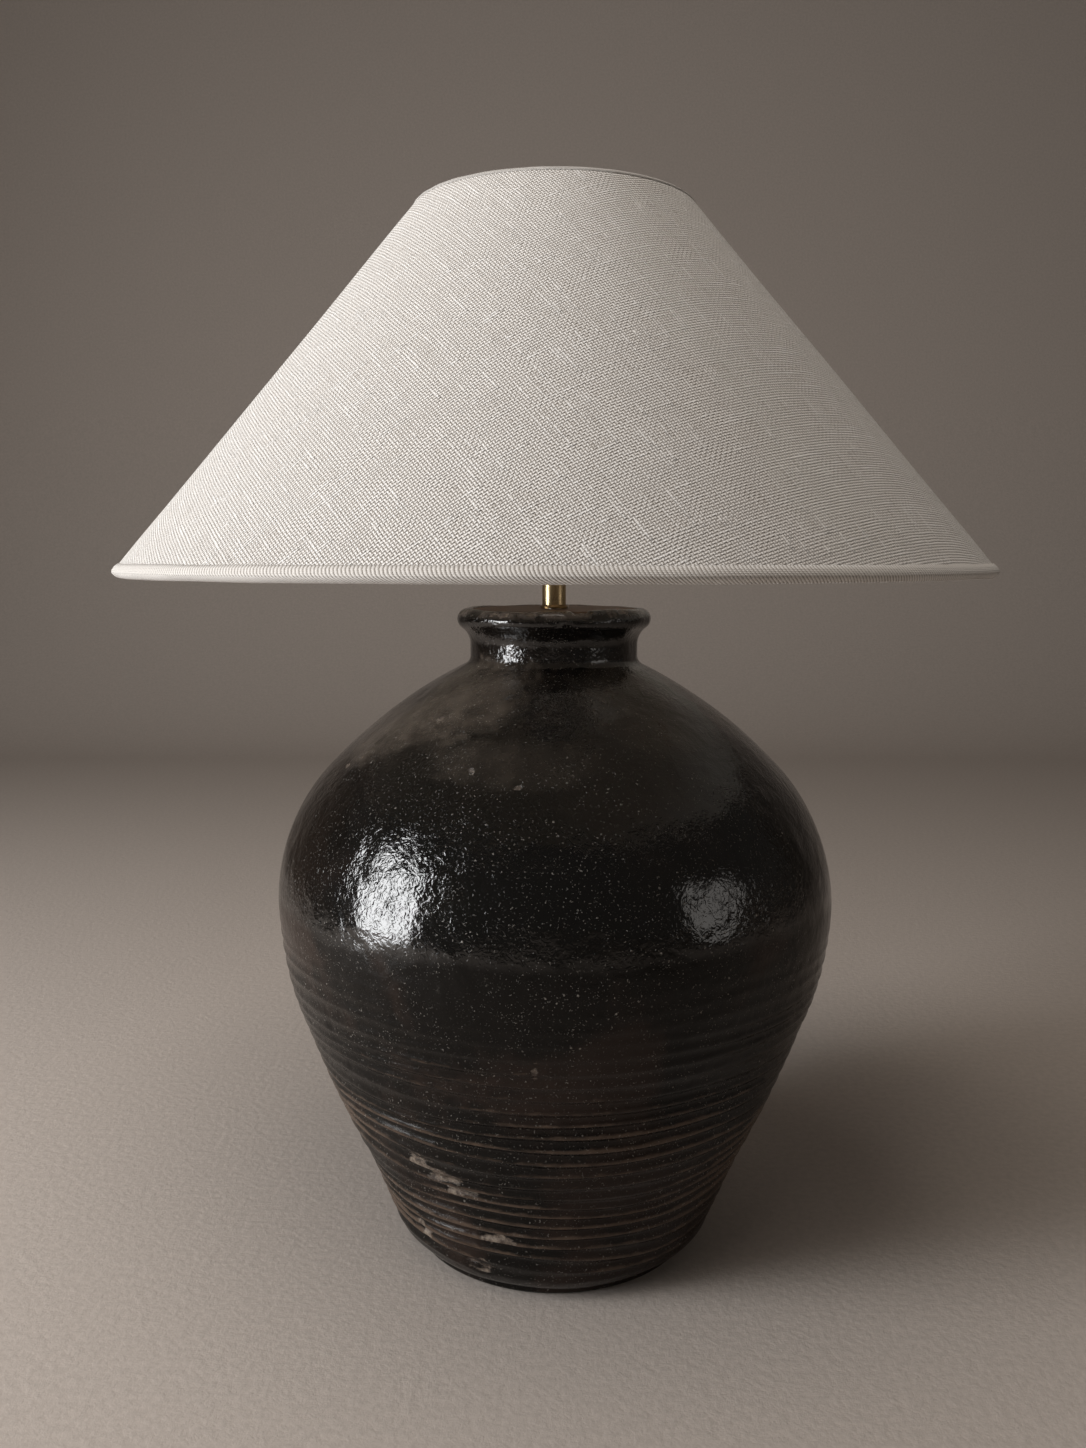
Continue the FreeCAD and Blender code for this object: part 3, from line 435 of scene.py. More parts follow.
@dataclass(frozen=True)
class Linen:
    """Coarse plain-weave linen, straight of grain along the shade's left slant."""

    lean: float
    pitch: float = 1.75
    weave_depth: float = 0.90
    thread: Colour = (0.83, 0.795, 0.755)
    bright: Colour = (0.93, 0.905, 0.875)
    shadow: Colour = (0.34, 0.30, 0.26)

    def along_weave(self, s: Shader) -> tuple[Signal, Signal]:
        """Unroll the cone and return the distances along the two sets of threads."""
        x, y, _ = s.parts(s.place())
        turn = x.angle_to(y * -1)
        reach = (x * x + y * y) ** 0.5 * (1 / self.lean)
        swept = (turn + math.pi / 2) * self.lean
        return reach * swept.cosine(), reach * swept.sine()

    def threads(self, s: Shader, along: Signal, across: Signal, seed: float) -> tuple[Signal, Signal]:
        """Draw one set of threads.

        Args:
            s: the shader.
            along: distance along the threads.
            across: distance across them.
            seed: what sets this set apart from the other.

        Returns:
            The thread's roundness from 0 to 1, and its own shade about 0.5.
        """
        wander = s.noise(s.vector(along, across, seed), 60.0, 2.0) - 0.5
        count = across / (self.pitch * MM) + wander * 0.9
        round_top = abs((count * math.pi).sine())
        slub = s.noise(s.vector(along * 26.0, count.floor() * 0.71, seed), 1.0, 3.0, 0.65)
        return round_top, slub

    def material(self) -> Material:
        """Build the weave."""
        s = Shader("linen_weave")
        warp_way, weft_way = self.along_weave(s)
        warp, warp_slub = self.threads(s, warp_way, weft_way, 3.0)
        weft, weft_slub = self.threads(s, weft_way, warp_way, 11.0)
        rate = math.pi / (self.pitch * MM)
        over = (warp_way * rate).sine() * (weft_way * rate).sine()
        on_top = s.step(over + (warp_slub - weft_slub) * 1.6, -0.5, 0.5)
        crown = abs(over) ** 0.5
        height = (warp * on_top + weft * (1 - on_top)) * (0.45 + crown * 0.55)
        shade = warp_slub * on_top + weft_slub * (1 - on_top)
        colour = s.ramp(shade, [(0.18, self.shadow), (0.42, self.thread), (0.64, self.bright)])
        # Painted shade: the gaps between the threads are darkened with the shadow colour.
        gap_shade = 1 - s.step(height, 0.04, 0.48)
        colour = s.mix(gap_shade * 0.9, colour, self.shadow)
        # Thick slubs stand proud in the relief and are also painted brighter, a painted highlight
        # where they catch the light.
        slub_and_highlight = (s.step(warp_slub, 0.59, 0.70) + s.step(weft_slub, 0.59, 0.70)).at_most(1)
        colour = s.mix(slub_and_highlight * 0.6, colour, self.bright)
        relief = s.bump(height * (0.6 + shade) + slub_and_highlight * 2.2, self.weave_depth)
        return s.finish({"Base Color": colour, "Roughness": 0.88, "Normal": relief, **NAP})


@dataclass(frozen=True)
class HemLinen:
    """The same linen cut on the cross and rolled round an edge, so its ribs slant."""

    rib: float = 2.1
    cross: float = 1.5
    hem_radius: float = 278.0
    depth: float = 0.45
    thread: Colour = (0.70, 0.67, 0.635)
    shadow: Colour = (0.31, 0.277, 0.243)
    fuzz: Colour = (0.80, 0.77, 0.73)

    def material(self) -> Material:
        """Build the binding."""
        s = Shader("hem_linen")
        place = s.place()
        x, y, z = s.parts(place)
        reach = (x * x + y * y) ** 0.5
        slant = x.angle_to(y * -1) * (self.hem_radius * MM) + z * 0.9 + reach * 0.6
        wander = s.noise(place, 55.0, 2.0) - 0.5
        rib = abs((slant * (math.pi / (self.rib * MM)) + wander * 2.2).sine())
        cross = abs(((z - reach) * (math.pi / (self.cross * MM)) + wander * 1.4).sine())
        fuzz = s.noise(place, 700.0, 3.0, 0.7)
        height = rib * 0.7 + cross * 0.3
        # Painted shade: the low parts between the ribs take the shadow colour.
        colour = s.mix(s.step(height, 0.1, 0.8), self.shadow, self.thread)
        colour = s.mix(s.step(fuzz, 0.45, 0.75) * 0.4, colour, self.fuzz)
        return s.finish({"Base Color": colour, "Roughness": 0.9,
                         "Normal": s.bump(height + fuzz * 0.3, self.depth), **NAP})


class Lay(Enum):
    """The way in which a metal was worked; the value stretches its marks."""

    TURNED = (1.0, 1.0, 30.0)
    DRAWN = (30.0, 30.0, 1.0)
    PLATED = (1.0, 1.0, 1.0)


@dataclass(frozen=True)
class Metal:
    """Worked metal with fine marks and a little tarnish."""

    name: str
    colour: Colour
    tarnish: Colour
    lay: Lay
    roughness: float
    mark_depth: float = 0.02

    def material(self) -> Material:
        """Build the metal."""
        s = Shader(self.name)
        place = s.place()
        marks = s.noise(s.stretched(place, self.lay.value), 120.0, 4.0, 0.7)
        stain = s.noise(place, 70.0, 4.0, 0.6)
        colour = s.mix(s.step(stain, 0.45, 0.75) * 0.6, self.colour, self.tarnish)
        rough = self.roughness + (marks - 0.5) * 0.18 + (stain - 0.5) * 0.16
        return s.finish({"Base Color": colour, "Metallic": 1.0, "Roughness": rough,
                         "Normal": s.bump(marks, self.mark_depth)})


@dataclass(frozen=True)
class Plain:
    """A moulded, sheet or fibrous stuff: a colour with a fine grain of its own."""

    name: str
    colour: Colour
    mottle: Colour
    roughness: float
    grain: float
    relief: float

    def material(self) -> Material:
        """Build the stuff."""
        s = Shader(self.name)
        place = s.place()
        fine = s.noise(place, self.grain, 4.0, 0.65)
        broad = s.noise(place, 25.0, 3.0)
        colour = s.mix(s.step(fine * 0.6 + broad * 0.4, 0.35, 0.70), self.colour, self.mottle)
        rough = self.roughness + (fine - 0.5) * 0.15
        return s.finish({"Base Color": colour, "Roughness": rough,
                         "Normal": s.bump(fine, self.relief)})


@dataclass(frozen=True)
class Frosted:
    """Bulb glass with a white coat on the inside."""

    colour: Colour = (0.86, 0.85, 0.82)
    mottle: Colour = (0.90, 0.89, 0.87)

    def material(self) -> Material:
        """Build the glass."""
        s = Shader("frosted_glass")
        fine = s.noise(s.place(), 500.0, 2.0)
        return s.finish({"Base Color": s.mix(fine, self.colour, self.mottle),
                         "Roughness": 0.32 + fine * 0.1, "Coat Weight": 0.6,
                         "Coat Roughness": 0.12, "Normal": s.bump(fine, 0.01)})


SATIN_BRASS = Metal("satin_brass", (0.52, 0.39, 0.22), (0.34, 0.24, 0.13), Lay.DRAWN, 0.30)
DARK_BRASS = Metal("dark_brass", (0.26, 0.17, 0.08), (0.10, 0.06, 0.03), Lay.TURNED, 0.38)
BRIGHT_BRASS = Metal("bright_brass", (0.76, 0.56, 0.27), (0.55, 0.37, 0.16), Lay.TURNED, 0.22)
ZINC = Metal("zinc_plate", (0.55, 0.55, 0.54), (0.36, 0.35, 0.33), Lay.PLATED, 0.34)
CAP_METAL = Metal("rolled_cap", (0.74, 0.73, 0.71), (0.52, 0.50, 0.47), Lay.TURNED, 0.30)
WHITE_WIRE = Plain("white_wire", (0.78, 0.77, 0.73), (0.68, 0.66, 0.61), 0.38, 300.0, 0.03)
STYRENE = Plain("styrene_sheet", (0.80, 0.78, 0.72), (0.74, 0.71, 0.64), 0.55, 420.0, 0.02)
FELT = Plain("wool_felt", (0.022, 0.030, 0.022), (0.050, 0.060, 0.046), 0.95, 800.0, 0.35)
RUBBER = Plain("black_rubber", (0.018, 0.018, 0.018), (0.032, 0.031, 0.030), 0.62, 600.0, 0.04)
PHENOLIC = Plain("moulded_phenolic", (0.016, 0.012, 0.010), (0.030, 0.020, 0.015), 0.30, 260.0, 0.02)
FIBRE = Plain("vulcanised_fibre", (0.085, 0.070, 0.055), (0.13, 0.105, 0.08), 0.72, 500.0, 0.06)
VITREOUS = Plain("vitreous_black", (0.012, 0.012, 0.016), (0.025, 0.025, 0.032), 0.18, 200.0, 0.02)


# ------------------------ turned meshes

class Profile:
    """A chain of lines and arcs in the half plane of radius and height."""

    def __init__(self, radius: float, height: float, step: float) -> None:
        """Start at a point, with the spacing of the points to come."""
        self.points = [np.array([radius, height])]
        self.step = step
        self.heading = np.array([0.0, 1.0])

    def line(self, radius: float, height: float) -> "Profile":
        """Run straight to a point."""
        here, there = self.points[-1], np.array([radius, height])
        count = max(1, round(float(np.linalg.norm(there - here)) / self.step))
        self.points += [here + (there - here) * k / count for k in range(1, count + 1)]
        self.heading = (there - here) / np.linalg.norm(there - here)
        return self

    def _sweep(self, there: Array, centre: Array) -> "Profile":
        """Run the shorter way round a centre to a point."""
        here = self.points[-1]
        first, second = here - centre, there - centre
        turn = math.atan2(first[0] * second[1] - first[1] * second[0], float(first @ second))
        count = max(2, round(abs(turn) * float(np.linalg.norm(first)) / self.step))
        for k in range(1, count + 1):
            c, w = math.cos(turn * k / count), math.sin(turn * k / count)
            self.points.append(centre + np.array([first[0] * c - first[1] * w,
                                                  first[0] * w + first[1] * c]))
        spoke = second / np.linalg.norm(second) * math.copysign(1, turn)
        self.heading = np.array([-spoke[1], spoke[0]])
        return self

    def tangent(self, radius: float, height: float) -> "Profile":
        """Run on a circle that leaves smoothly from the move before."""
        chord = np.array([radius, height]) - self.points[-1]
        side = np.array([-self.heading[1], self.heading[0]])
        return self._sweep(np.array([radius, height]),
                           self.points[-1] + side * float(chord @ chord) / (2 * float(chord @ side)))

    def about_level(self, radius: float, height: float, level: float) -> "Profile":
        """Run on a circle whose centre is at a level."""
        here, there = self.points[-1], np.array([radius, height])
        chord, middle = there - here, (there + here) / 2
        centre = np.array([middle[0] + (middle[1] - level) * chord[1] / chord[0], level])
        return self._sweep(there, centre)

    def bent(self, radius: float, height: float, curve: float) -> "Profile":
        """Run on a circle of a radius, anticlockwise where it is positive."""
        here, there = self.points[-1], np.array([radius, height])
        chord = there - here
        half = float(np.linalg.norm(chord)) / 2
        side = np.array([-chord[1], chord[0]]) / (2 * half)
        rise = math.sqrt(curve * curve - half * half) * math.copysign(1, curve)
        return self._sweep(there, here + chord / 2 + side * rise)

    def rows(self) -> Array:
        """Return the points as rows of radius and height."""
        return np.array(self.points)


@dataclass(frozen=True)
class Lumps:
    """Smooth random lumps round a turned form, made of a few waves."""

    seed: int
    lobes: int
    wavelength: float
    waves: int = 24
    height: float = 1.0

    def at(self, angle: Array, level: Array) -> Array:
        """Return the lumps, of about their height, at angles in radians and levels."""
        rng = np.random.default_rng(self.seed)
        total = np.zeros(np.broadcast(angle, level).shape)
        for _ in range(self.waves):
            turns = int(rng.integers(-self.lobes, self.lobes + 1))
            rate = rng.normal() * 2 * math.pi / self.wavelength
            total = total + np.cos(turns * angle + rate * level + rng.uniform(0, 2 * math.pi))
        return self.height * total / math.sqrt(self.waves / 2)


def smoothstep(value: Array, low: float, high: float) -> Array:
    """Rise smoothly from 0 at low to 1 at high."""
    t = np.clip((value - low) / (high - low), 0, 1)
    return t * t * (3 - 2 * t)


def normals_of(rows: Array) -> Array:
    """Return the outward unit normal of each row of a profile."""
    way = np.gradient(rows, axis=0)
    way /= np.linalg.norm(way, axis=1, keepdims=True) + NOTHING
    return np.stack([way[:, 1], -way[:, 0]], axis=1)


def mesh_piece(name: str, points: Array, faces: list[tuple[int, ...]],
               values: Mapping[str, Array]) -> Object:
    """Make a smooth mesh object.

    Args:
        name: the piece's name.
        points: its points in millimetres.
        faces: its faces.
        values: values at its points, by name.

    Returns:
        The object, in metres.
    """
    mesh = bpy.data.meshes.new(name)
    mesh.from_pydata((points * MM).tolist(), [], faces)
    for key, numbers in values.items():
        layer = mesh.attributes.new(key, "FLOAT", "POINT")
        layer.data.foreach_set("value", numbers.astype(np.float32).ravel())
    mesh.shade_smooth()
    piece = bpy.data.objects.new(name, mesh)
    bpy.context.scene.collection.objects.link(piece)
    return piece


Values = dict[str, Array]
Relief = Callable[[Array, Array, Array], tuple[Array, Values]]


def turned_piece(name: str, rows: Array, segments: int, relief: Relief) -> Object:
    """Turn a closed profile about the lamp's axis.

    Args:
        name: the piece's name.
        rows: radius and height of each row; the last row joins the first, and a row on the axis
            becomes one point.
        segments: points round the form.
        relief: gives how far each point stands out, and values to keep at the points.

    Returns:
        The piece.
    """
    angle = np.linspace(-math.pi, math.pi, segments, endpoint=False)[None, :]
    radius, height = rows[:, :1], rows[:, 1:]
    out, values = relief(angle, radius, height)
    normal = normals_of(rows)
    radius = radius + out * normal[:, :1]
    height = height + out * normal[:, 1:]
    grid = np.stack([radius * np.sin(angle), -radius * np.cos(angle), height + 0 * angle], axis=2)
    keep = np.ones(grid.shape[:2], bool)
    keep[:, 1:] &= rows[:, :1] > NOTHING
    index = np.where(keep, np.cumsum(keep).reshape(keep.shape) - 1, 0)
    index[~keep[:, 1], 1:] = index[~keep[:, 1], :1]
    faces = []
    for low in range(len(rows)):
        a, b = index[low].tolist(), index[(low + 1) % len(rows)].tolist()
        for j in range(segments):
            k = (j + 1) % segments
            face = tuple(dict.fromkeys((a[j], a[k], b[k], b[j])))
            if len(face) > 2:
                faces.append(face)
    return mesh_piece(name, grid[keep], faces, {key: v[keep] for key, v in values.items()})


def dress(name: str, finish: Any) -> None:
    """Give one of the model's own pieces a finish in every slot."""
    material = finish if isinstance(finish, Material) else finish.material()
    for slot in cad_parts[name].material_slots:
        slot.material = material
    LOG.info("%s: %s", name, material.name)


def place(piece: Object, finish: Any, body: str, node: str, slot: str) -> None:
    """Finish a new piece and set it in the lamp.

    Args:
        piece: the new piece.
        finish: what it is made of.
        body: the body that carries it.
        node: the model's piece that it stands for.
        slot: that piece's material slot; not used.
    """
    piece.data.materials.append(finish.material())
    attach(piece, body)
    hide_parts(node)
    LOG.info("%s stands for %s, %d points", piece.name, node, len(piece.data.vertices))


# ------------------------ sub-assemblies

# A spot is whole up to the first share of its half size, and gone at the second.
SPOT_EDGE = (0.55, 1.15)


@dataclass(frozen=True)
class Spot:
    """A ragged oval patch on the jar: where it is, how large, and how deep or strong."""

    azimuth: float
    level: float
    wide: float
    tall: float
    strength: float

    def mask(self, angle: Array, radius: Array, level: Array, ragged: Array) -> Array:
        """Return 1 in the middle, falling to 0 at a ragged edge."""
        away = (angle - math.radians(self.azimuth)) * radius / self.wide
        rise = (level - self.level) / self.tall
        return 1 - smoothstep(np.sqrt(away ** 2 + rise ** 2) + ragged, *SPOT_EDGE)


# Chips and scrapes: degrees round from the viewer's side, level, half width and height, depth.
CHIPS = (
    Spot(-34.4, 435.2, 8.0, 1.6, 0.5), Spot(-14.0, 435.4, 7.0, 1.5, 0.6),
    Spot(16.5, 436.4, 9.0, 1.8, 1.6), Spot(43.0, 436.0, 6.0, 1.4, 0.5),
    Spot(-21.0, 348.3, 2.8, 2.3, 0.25), Spot(-8.2, 340.6, 2.5, 2.2, 0.2),
    Spot(-42.4, 372.5, 2.6, 2.2, 0.2), Spot(-67.0, 339.0, 3.0, 2.3, 0.2),
    Spot(-0.4, 254.6, 2.0, 2.0, 0.25), Spot(-28.0, 97.0, 17.0, 5.5, 0.4),
    Spot(-33.0, 106.0, 12.0, 4.0, 0.4), Spot(-25.0, 88.0, 12.0, 4.0, 0.4),
    Spot(-26.1, 24.5, 11.0, 5.5, 1.1), Spot(-17.0, 50.0, 12.0, 4.0, 0.4),
    Spot(-45.6, 34.0, 6.0, 7.0, 0.5), Spot(-3.4, 185.0, 2.4, 6.5, 0.2),
    Spot(118.0, 29.0, 10.0, 6.0, 0.9), Spot(-135.0, 70.0, 12.0, 5.0, 0.4),
    Spot(160.0, 310.0, 3.4, 3.0, 0.25), Spot(96.0, 434.8, 8.0, 1.6, 0.5))

# Where a pale film dulls the shoulder, partly a painted reflection of the shade's lit inside: the
# same, with its share at the end.
FILMS_AND_REFLECTIONS = (
    Spot(-42.0, 382.0, 52.0, 26.0, 1.0), Spot(-66.0, 362.0, 44.0, 22.0, 0.8),
    Spot(36.0, 378.0, 48.0, 26.0, 0.42), Spot(-12.0, 352.0, 60.0, 14.0, 0.30),
    Spot(100.0, 376.0, 90.0, 28.0, 0.7), Spot(-155.0, 374.0, 110.0, 28.0, 0.8))


@dataclass
class Jar:
    """The thrown stoneware jar, with its ridges, lumps and chips.

    A point of the outline is its radius and its level from the underside of the foot. Spans and
    other levels are from the table, like those of the spots.
    """

    felt: float = 1.5
    recess: Point = (84.0, 5.0)
    foot: Point = (98.0, 4.5)
    edge_out: float = 1.4
    edge_up: float = 1.6
    flare: Point = (113.5, 20.5)
    flare_curve: float = 24.0
    flank: Point = (135.5, 73.5)
    hip: Point = (172.0, 163.5)
    hip_curve: float = 510.0
    belly: Point = (187.2, 242.5)
    shoulder: Point = (153.3, 328.5)
    root: Point = (60.0, 397.8)
    throat: Point = (56.0, 404.2)
    neck: Point = (56.0, 412.0)
    lip: Point = (62.0, 423.5)
    crest: Point = (58.0, 435.5)
    mouth: float = 56.0
    cap_recess: float = 12.0
    bore: float = 46.5
    land: Point = (62.0, 386.5)
    inner_shoulder: Point = (146.7, 322.4)
    inner_curve: float = -330.0
    inner_wall: tuple[Point, ...] = ((178.2, 242.5), (162.6, 163.5), (125.8, 73.5),
                                     (100.0, 20.0), (93.0, 14.0))
    step: float = 1.3
    inner_step: float = 6.0
    segments: int = 320
    broad: Lumps = Lumps(4, 3, 260.0, height=0.55)
    dents: Lumps = Lumps(9, 11, 90.0, 40, 0.20)
    ragged: Lumps = Lumps(50, 60, 9.0, 60, 0.35)
    foot_clear: Span = (2.5, 7.5)
    ridge_pitch: float = 9.3
    ridge_depth: float = 2.6
    ridge_shape: float = 1.25
    ridge_share: float = 0.30
    ridge_foot: Span = (12.0, 30.0)
    ridge_ease: Span = (95.0, 225.0)
    ridge_end: Span = (205.0, 246.0)
    ridge_wander: Lumps = Lumps(21, 4, 70.0, height=1.1)
    ridge_change: Lumps = Lumps(33, 6, 60.0, height=0.25)
    neck_calm: Span = (404.0, 436.0)
    lip_worn: Span = (434.2, 437.0)
    lip_wear: Lumps = Lumps(61, 9, 30.0, height=0.4)
    rim_rows: int = 8
    bead_turn: float = 0.11
    bead_level: float = 431.5
    bead_height: float = 1.3
    bead_spread: float = 7.0

    def profile(self) -> Array:
        """Return the closed outline, with the same curves as the plain solid."""
        top, seat = self.crest[1], self.crest[1] - self.cap_recess
        floor = self.inner_wall[-1][1]
        path = Profile(*self.recess, self.step)
        path.line(self.recess[0], 0.0).line(self.foot[0] - self.edge_out, 0.0)
        path.tangent(self.foot[0], self.edge_up).line(*self.foot)
        path.bent(*self.flare, self.flare_curve).line(*self.flank).bent(*self.hip, self.hip_curve)
        path.about_level(*self.belly, self.belly[1]).tangent(*self.shoulder).tangent(*self.root)
        path.tangent(*self.throat).line(*self.neck).tangent(*self.lip).tangent(*self.crest)
        path.line(self.mouth + 0.4, top - 0.2).line(self.mouth, top - 1.0).line(self.mouth, seat)
        path.step = self.inner_step
        path.line(self.bore, seat).line(self.bore, self.land[1]).line(*self.land)
        path.bent(*self.inner_shoulder, self.inner_curve)
        for point in self.inner_wall:
            path.line(*point)
        path.points += [np.array([0.0, floor]), np.array([0.0, self.recess[1]])]
        return path.rows() + np.array([0.0, self.felt])

    def ridges(self, angle: Array, level: Array) -> tuple[Array, Array]:
        """Return how deep the throwing ridges are cut, and where their crests are."""
        phase = (level + self.ridge_wander.at(angle, level)) / self.ridge_pitch
        phase = phase + angle / (2 * math.pi)
        groove = np.abs(np.sin(phase * math.pi)) ** self.ridge_shape
        strength = 1 - (1 - self.ridge_share) * smoothstep(level, *self.ridge_ease)
        strength = strength * (1 - smoothstep(level, *self.ridge_end))
        strength = strength * (1 + self.ridge_change.at(angle, level))
        strength = np.clip(strength * smoothstep(level, *self.ridge_foot), 0, 1.4)
        return groove * self.ridge_depth * strength, (1 - groove) * strength

    def relief(self, angle: Array, radius: Array, level: Array) -> tuple[Array, Values]:
        """Return how far the thrown wall stands out, where it is ridged and worn, and where the
        shoulder's film and painted reflection lie.
        """
        outside = smoothstep(level, *self.foot_clear)
        outside[int(np.argmax(level[:, 0])) + self.rim_rows:] = 0.0
        cut, crests = self.ridges(angle, level)
        ragged = self.ragged.at(angle, level)
        chips = [spot.mask(angle, radius, level, ragged) for spot in CHIPS]
        # The films are partly dull glaze, partly a painted reflection of the shade's lit inside.
        films_and_reflections = [spot.mask(angle, radius, level, ragged * 0.2) for spot in FILMS_AND_REFLECTIONS]
        chipped = np.maximum.reduce([mask * spot.strength for mask, spot in zip(chips, CHIPS)])
        film = np.maximum.reduce([mask * spot.strength for mask, spot in zip(films_and_reflections, FILMS_AND_REFLECTIONS)])
        calm = 1 - smoothstep(level, *self.neck_calm) * 0.55
        bead = ((angle - self.bead_turn) * self.lip[0]) ** 2 + (level - self.bead_level) ** 2
        out = self.broad.at(angle, level) * calm + self.dents.at(angle, level) - cut - chipped
        out = out + self.bead_height * np.exp(-bead / self.bead_spread)
        rim = smoothstep(level, *self.lip_worn) * (0.35 + self.lip_wear.at(angle, level))
        worn = np.maximum(np.maximum.reduce(chips) * (outside > 0), np.clip(rim, 0, 0.75) * outside)
        return out * outside, {"ridge": crests * outside, "wear": worn, "film": film * outside}

    def build(self, glaze: JarGlaze) -> None:
        """Throw the jar and glaze it."""
        piece = turned_piece("glazed_jar", self.profile(), self.segments, self.relief)
        place(piece, glaze, "base", "jar", "stoneware_glaze")
        dress("base_felt", FELT)
        dress("cord_grommet", RUBBER)


@dataclass
class Cap:
    """The wooden disc in the mouth and the clamp under it."""

    bore: float = 5.3
    radius: float = 55.3
    edge: float = 1.2
    seat: float = 425.0
    top: float = 436.9
    bung: float = 45.5
    bung_depth: float = 18.0
    bung_chamfer: float = 2.0
    step: float = 1.6
    segments: int = 180
    rim_width: float = 4.0
    dish: float = 0.35
    knocks: Lumps = Lumps(5, 26, 20.0, 40)
    rubs: Lumps = Lumps(8, 12, 20.0, height=0.3)

    def relief(self, angle: Array, radius: Array, level: Array) -> tuple[Array, Values]:
        """Return the knocks in the disc's rim and where it is rubbed."""
        rim = smoothstep(radius, self.radius - self.rim_width, self.radius - 0.5)
        rim = rim * smoothstep(level, self.top - 6.0, self.top - 1.0)
        knocks = np.clip(self.knocks.at(angle, level), -2, 0.3)
        dish = (1 - smoothstep(radius, 8.0, 50.0)) * smoothstep(level, self.top - 1, self.top)
        worn = rim * (0.55 + self.rubs.at(angle, level))
        out = (knocks * 0.55 - 0.15) * rim - self.dish * dish
        return out, {"wear": np.clip(worn, 0, 1)}

    def build(self) -> None:
        """Turn the disc and finish the clamp."""
        foot = self.seat - self.bung_depth
        path = Profile(self.bore, foot, self.step)
        path.line(self.bung - self.bung_chamfer, foot).line(self.bung, foot + self.bung_chamfer)
        path.line(self.bung, self.seat).line(self.radius, self.seat)
        path.line(self.radius, self.top - self.edge)
        path.bent(self.radius - self.edge, self.top, self.edge).line(self.bore, self.top)
        piece = turned_piece("wood_disc", path.rows(), self.segments, self.relief)
        place(piece, StainedWood(), "base", "wood_cap", "dark_wood")
        for node in ("lamp_pipe", "clamp_bar", "clamp_washer", "clamp_nut"):
            dress(node, ZINC)
        dress("bar_pads", RUBBER)


@dataclass
class Fittings:
    """The brass neck, the saddle, the socket, the switch, the bulb and the harp."""

    satin: tuple[str, ...] = ("neck_tube", "harp_saddle", "saddle_nut", "harp", "harp_stud",
                              "ferrule_left", "ferrule_right", "finial_insert", "finial")
    bright: tuple[str, ...] = ("socket_cap", "socket_shell", "terminal_screws", "centre_contact",
                               "screw_shell")
    others: dict[str, Any] = field(default_factory=lambda: {
        "tube_collar": DARK_BRASS, "socket_liner": FIBRE, "socket_block": PHENOLIC,
        "switch_knob": PHENOLIC, "switch_shaft": ZINC, "bulb_tip": ZINC,
        "bulb_insulator": VITREOUS, "bulb_cap": CAP_METAL, "bulb_glass": Frosted()})

    def build(self) -> None:
        """Finish every fitting."""
        for nodes, finish in ((self.satin, SATIN_BRASS), (self.bright, BRIGHT_BRASS)):
            brass = finish.material()
            for node in nodes:
                dress(node, brass)
        for node, finish in self.others.items():
            dress(node, finish)


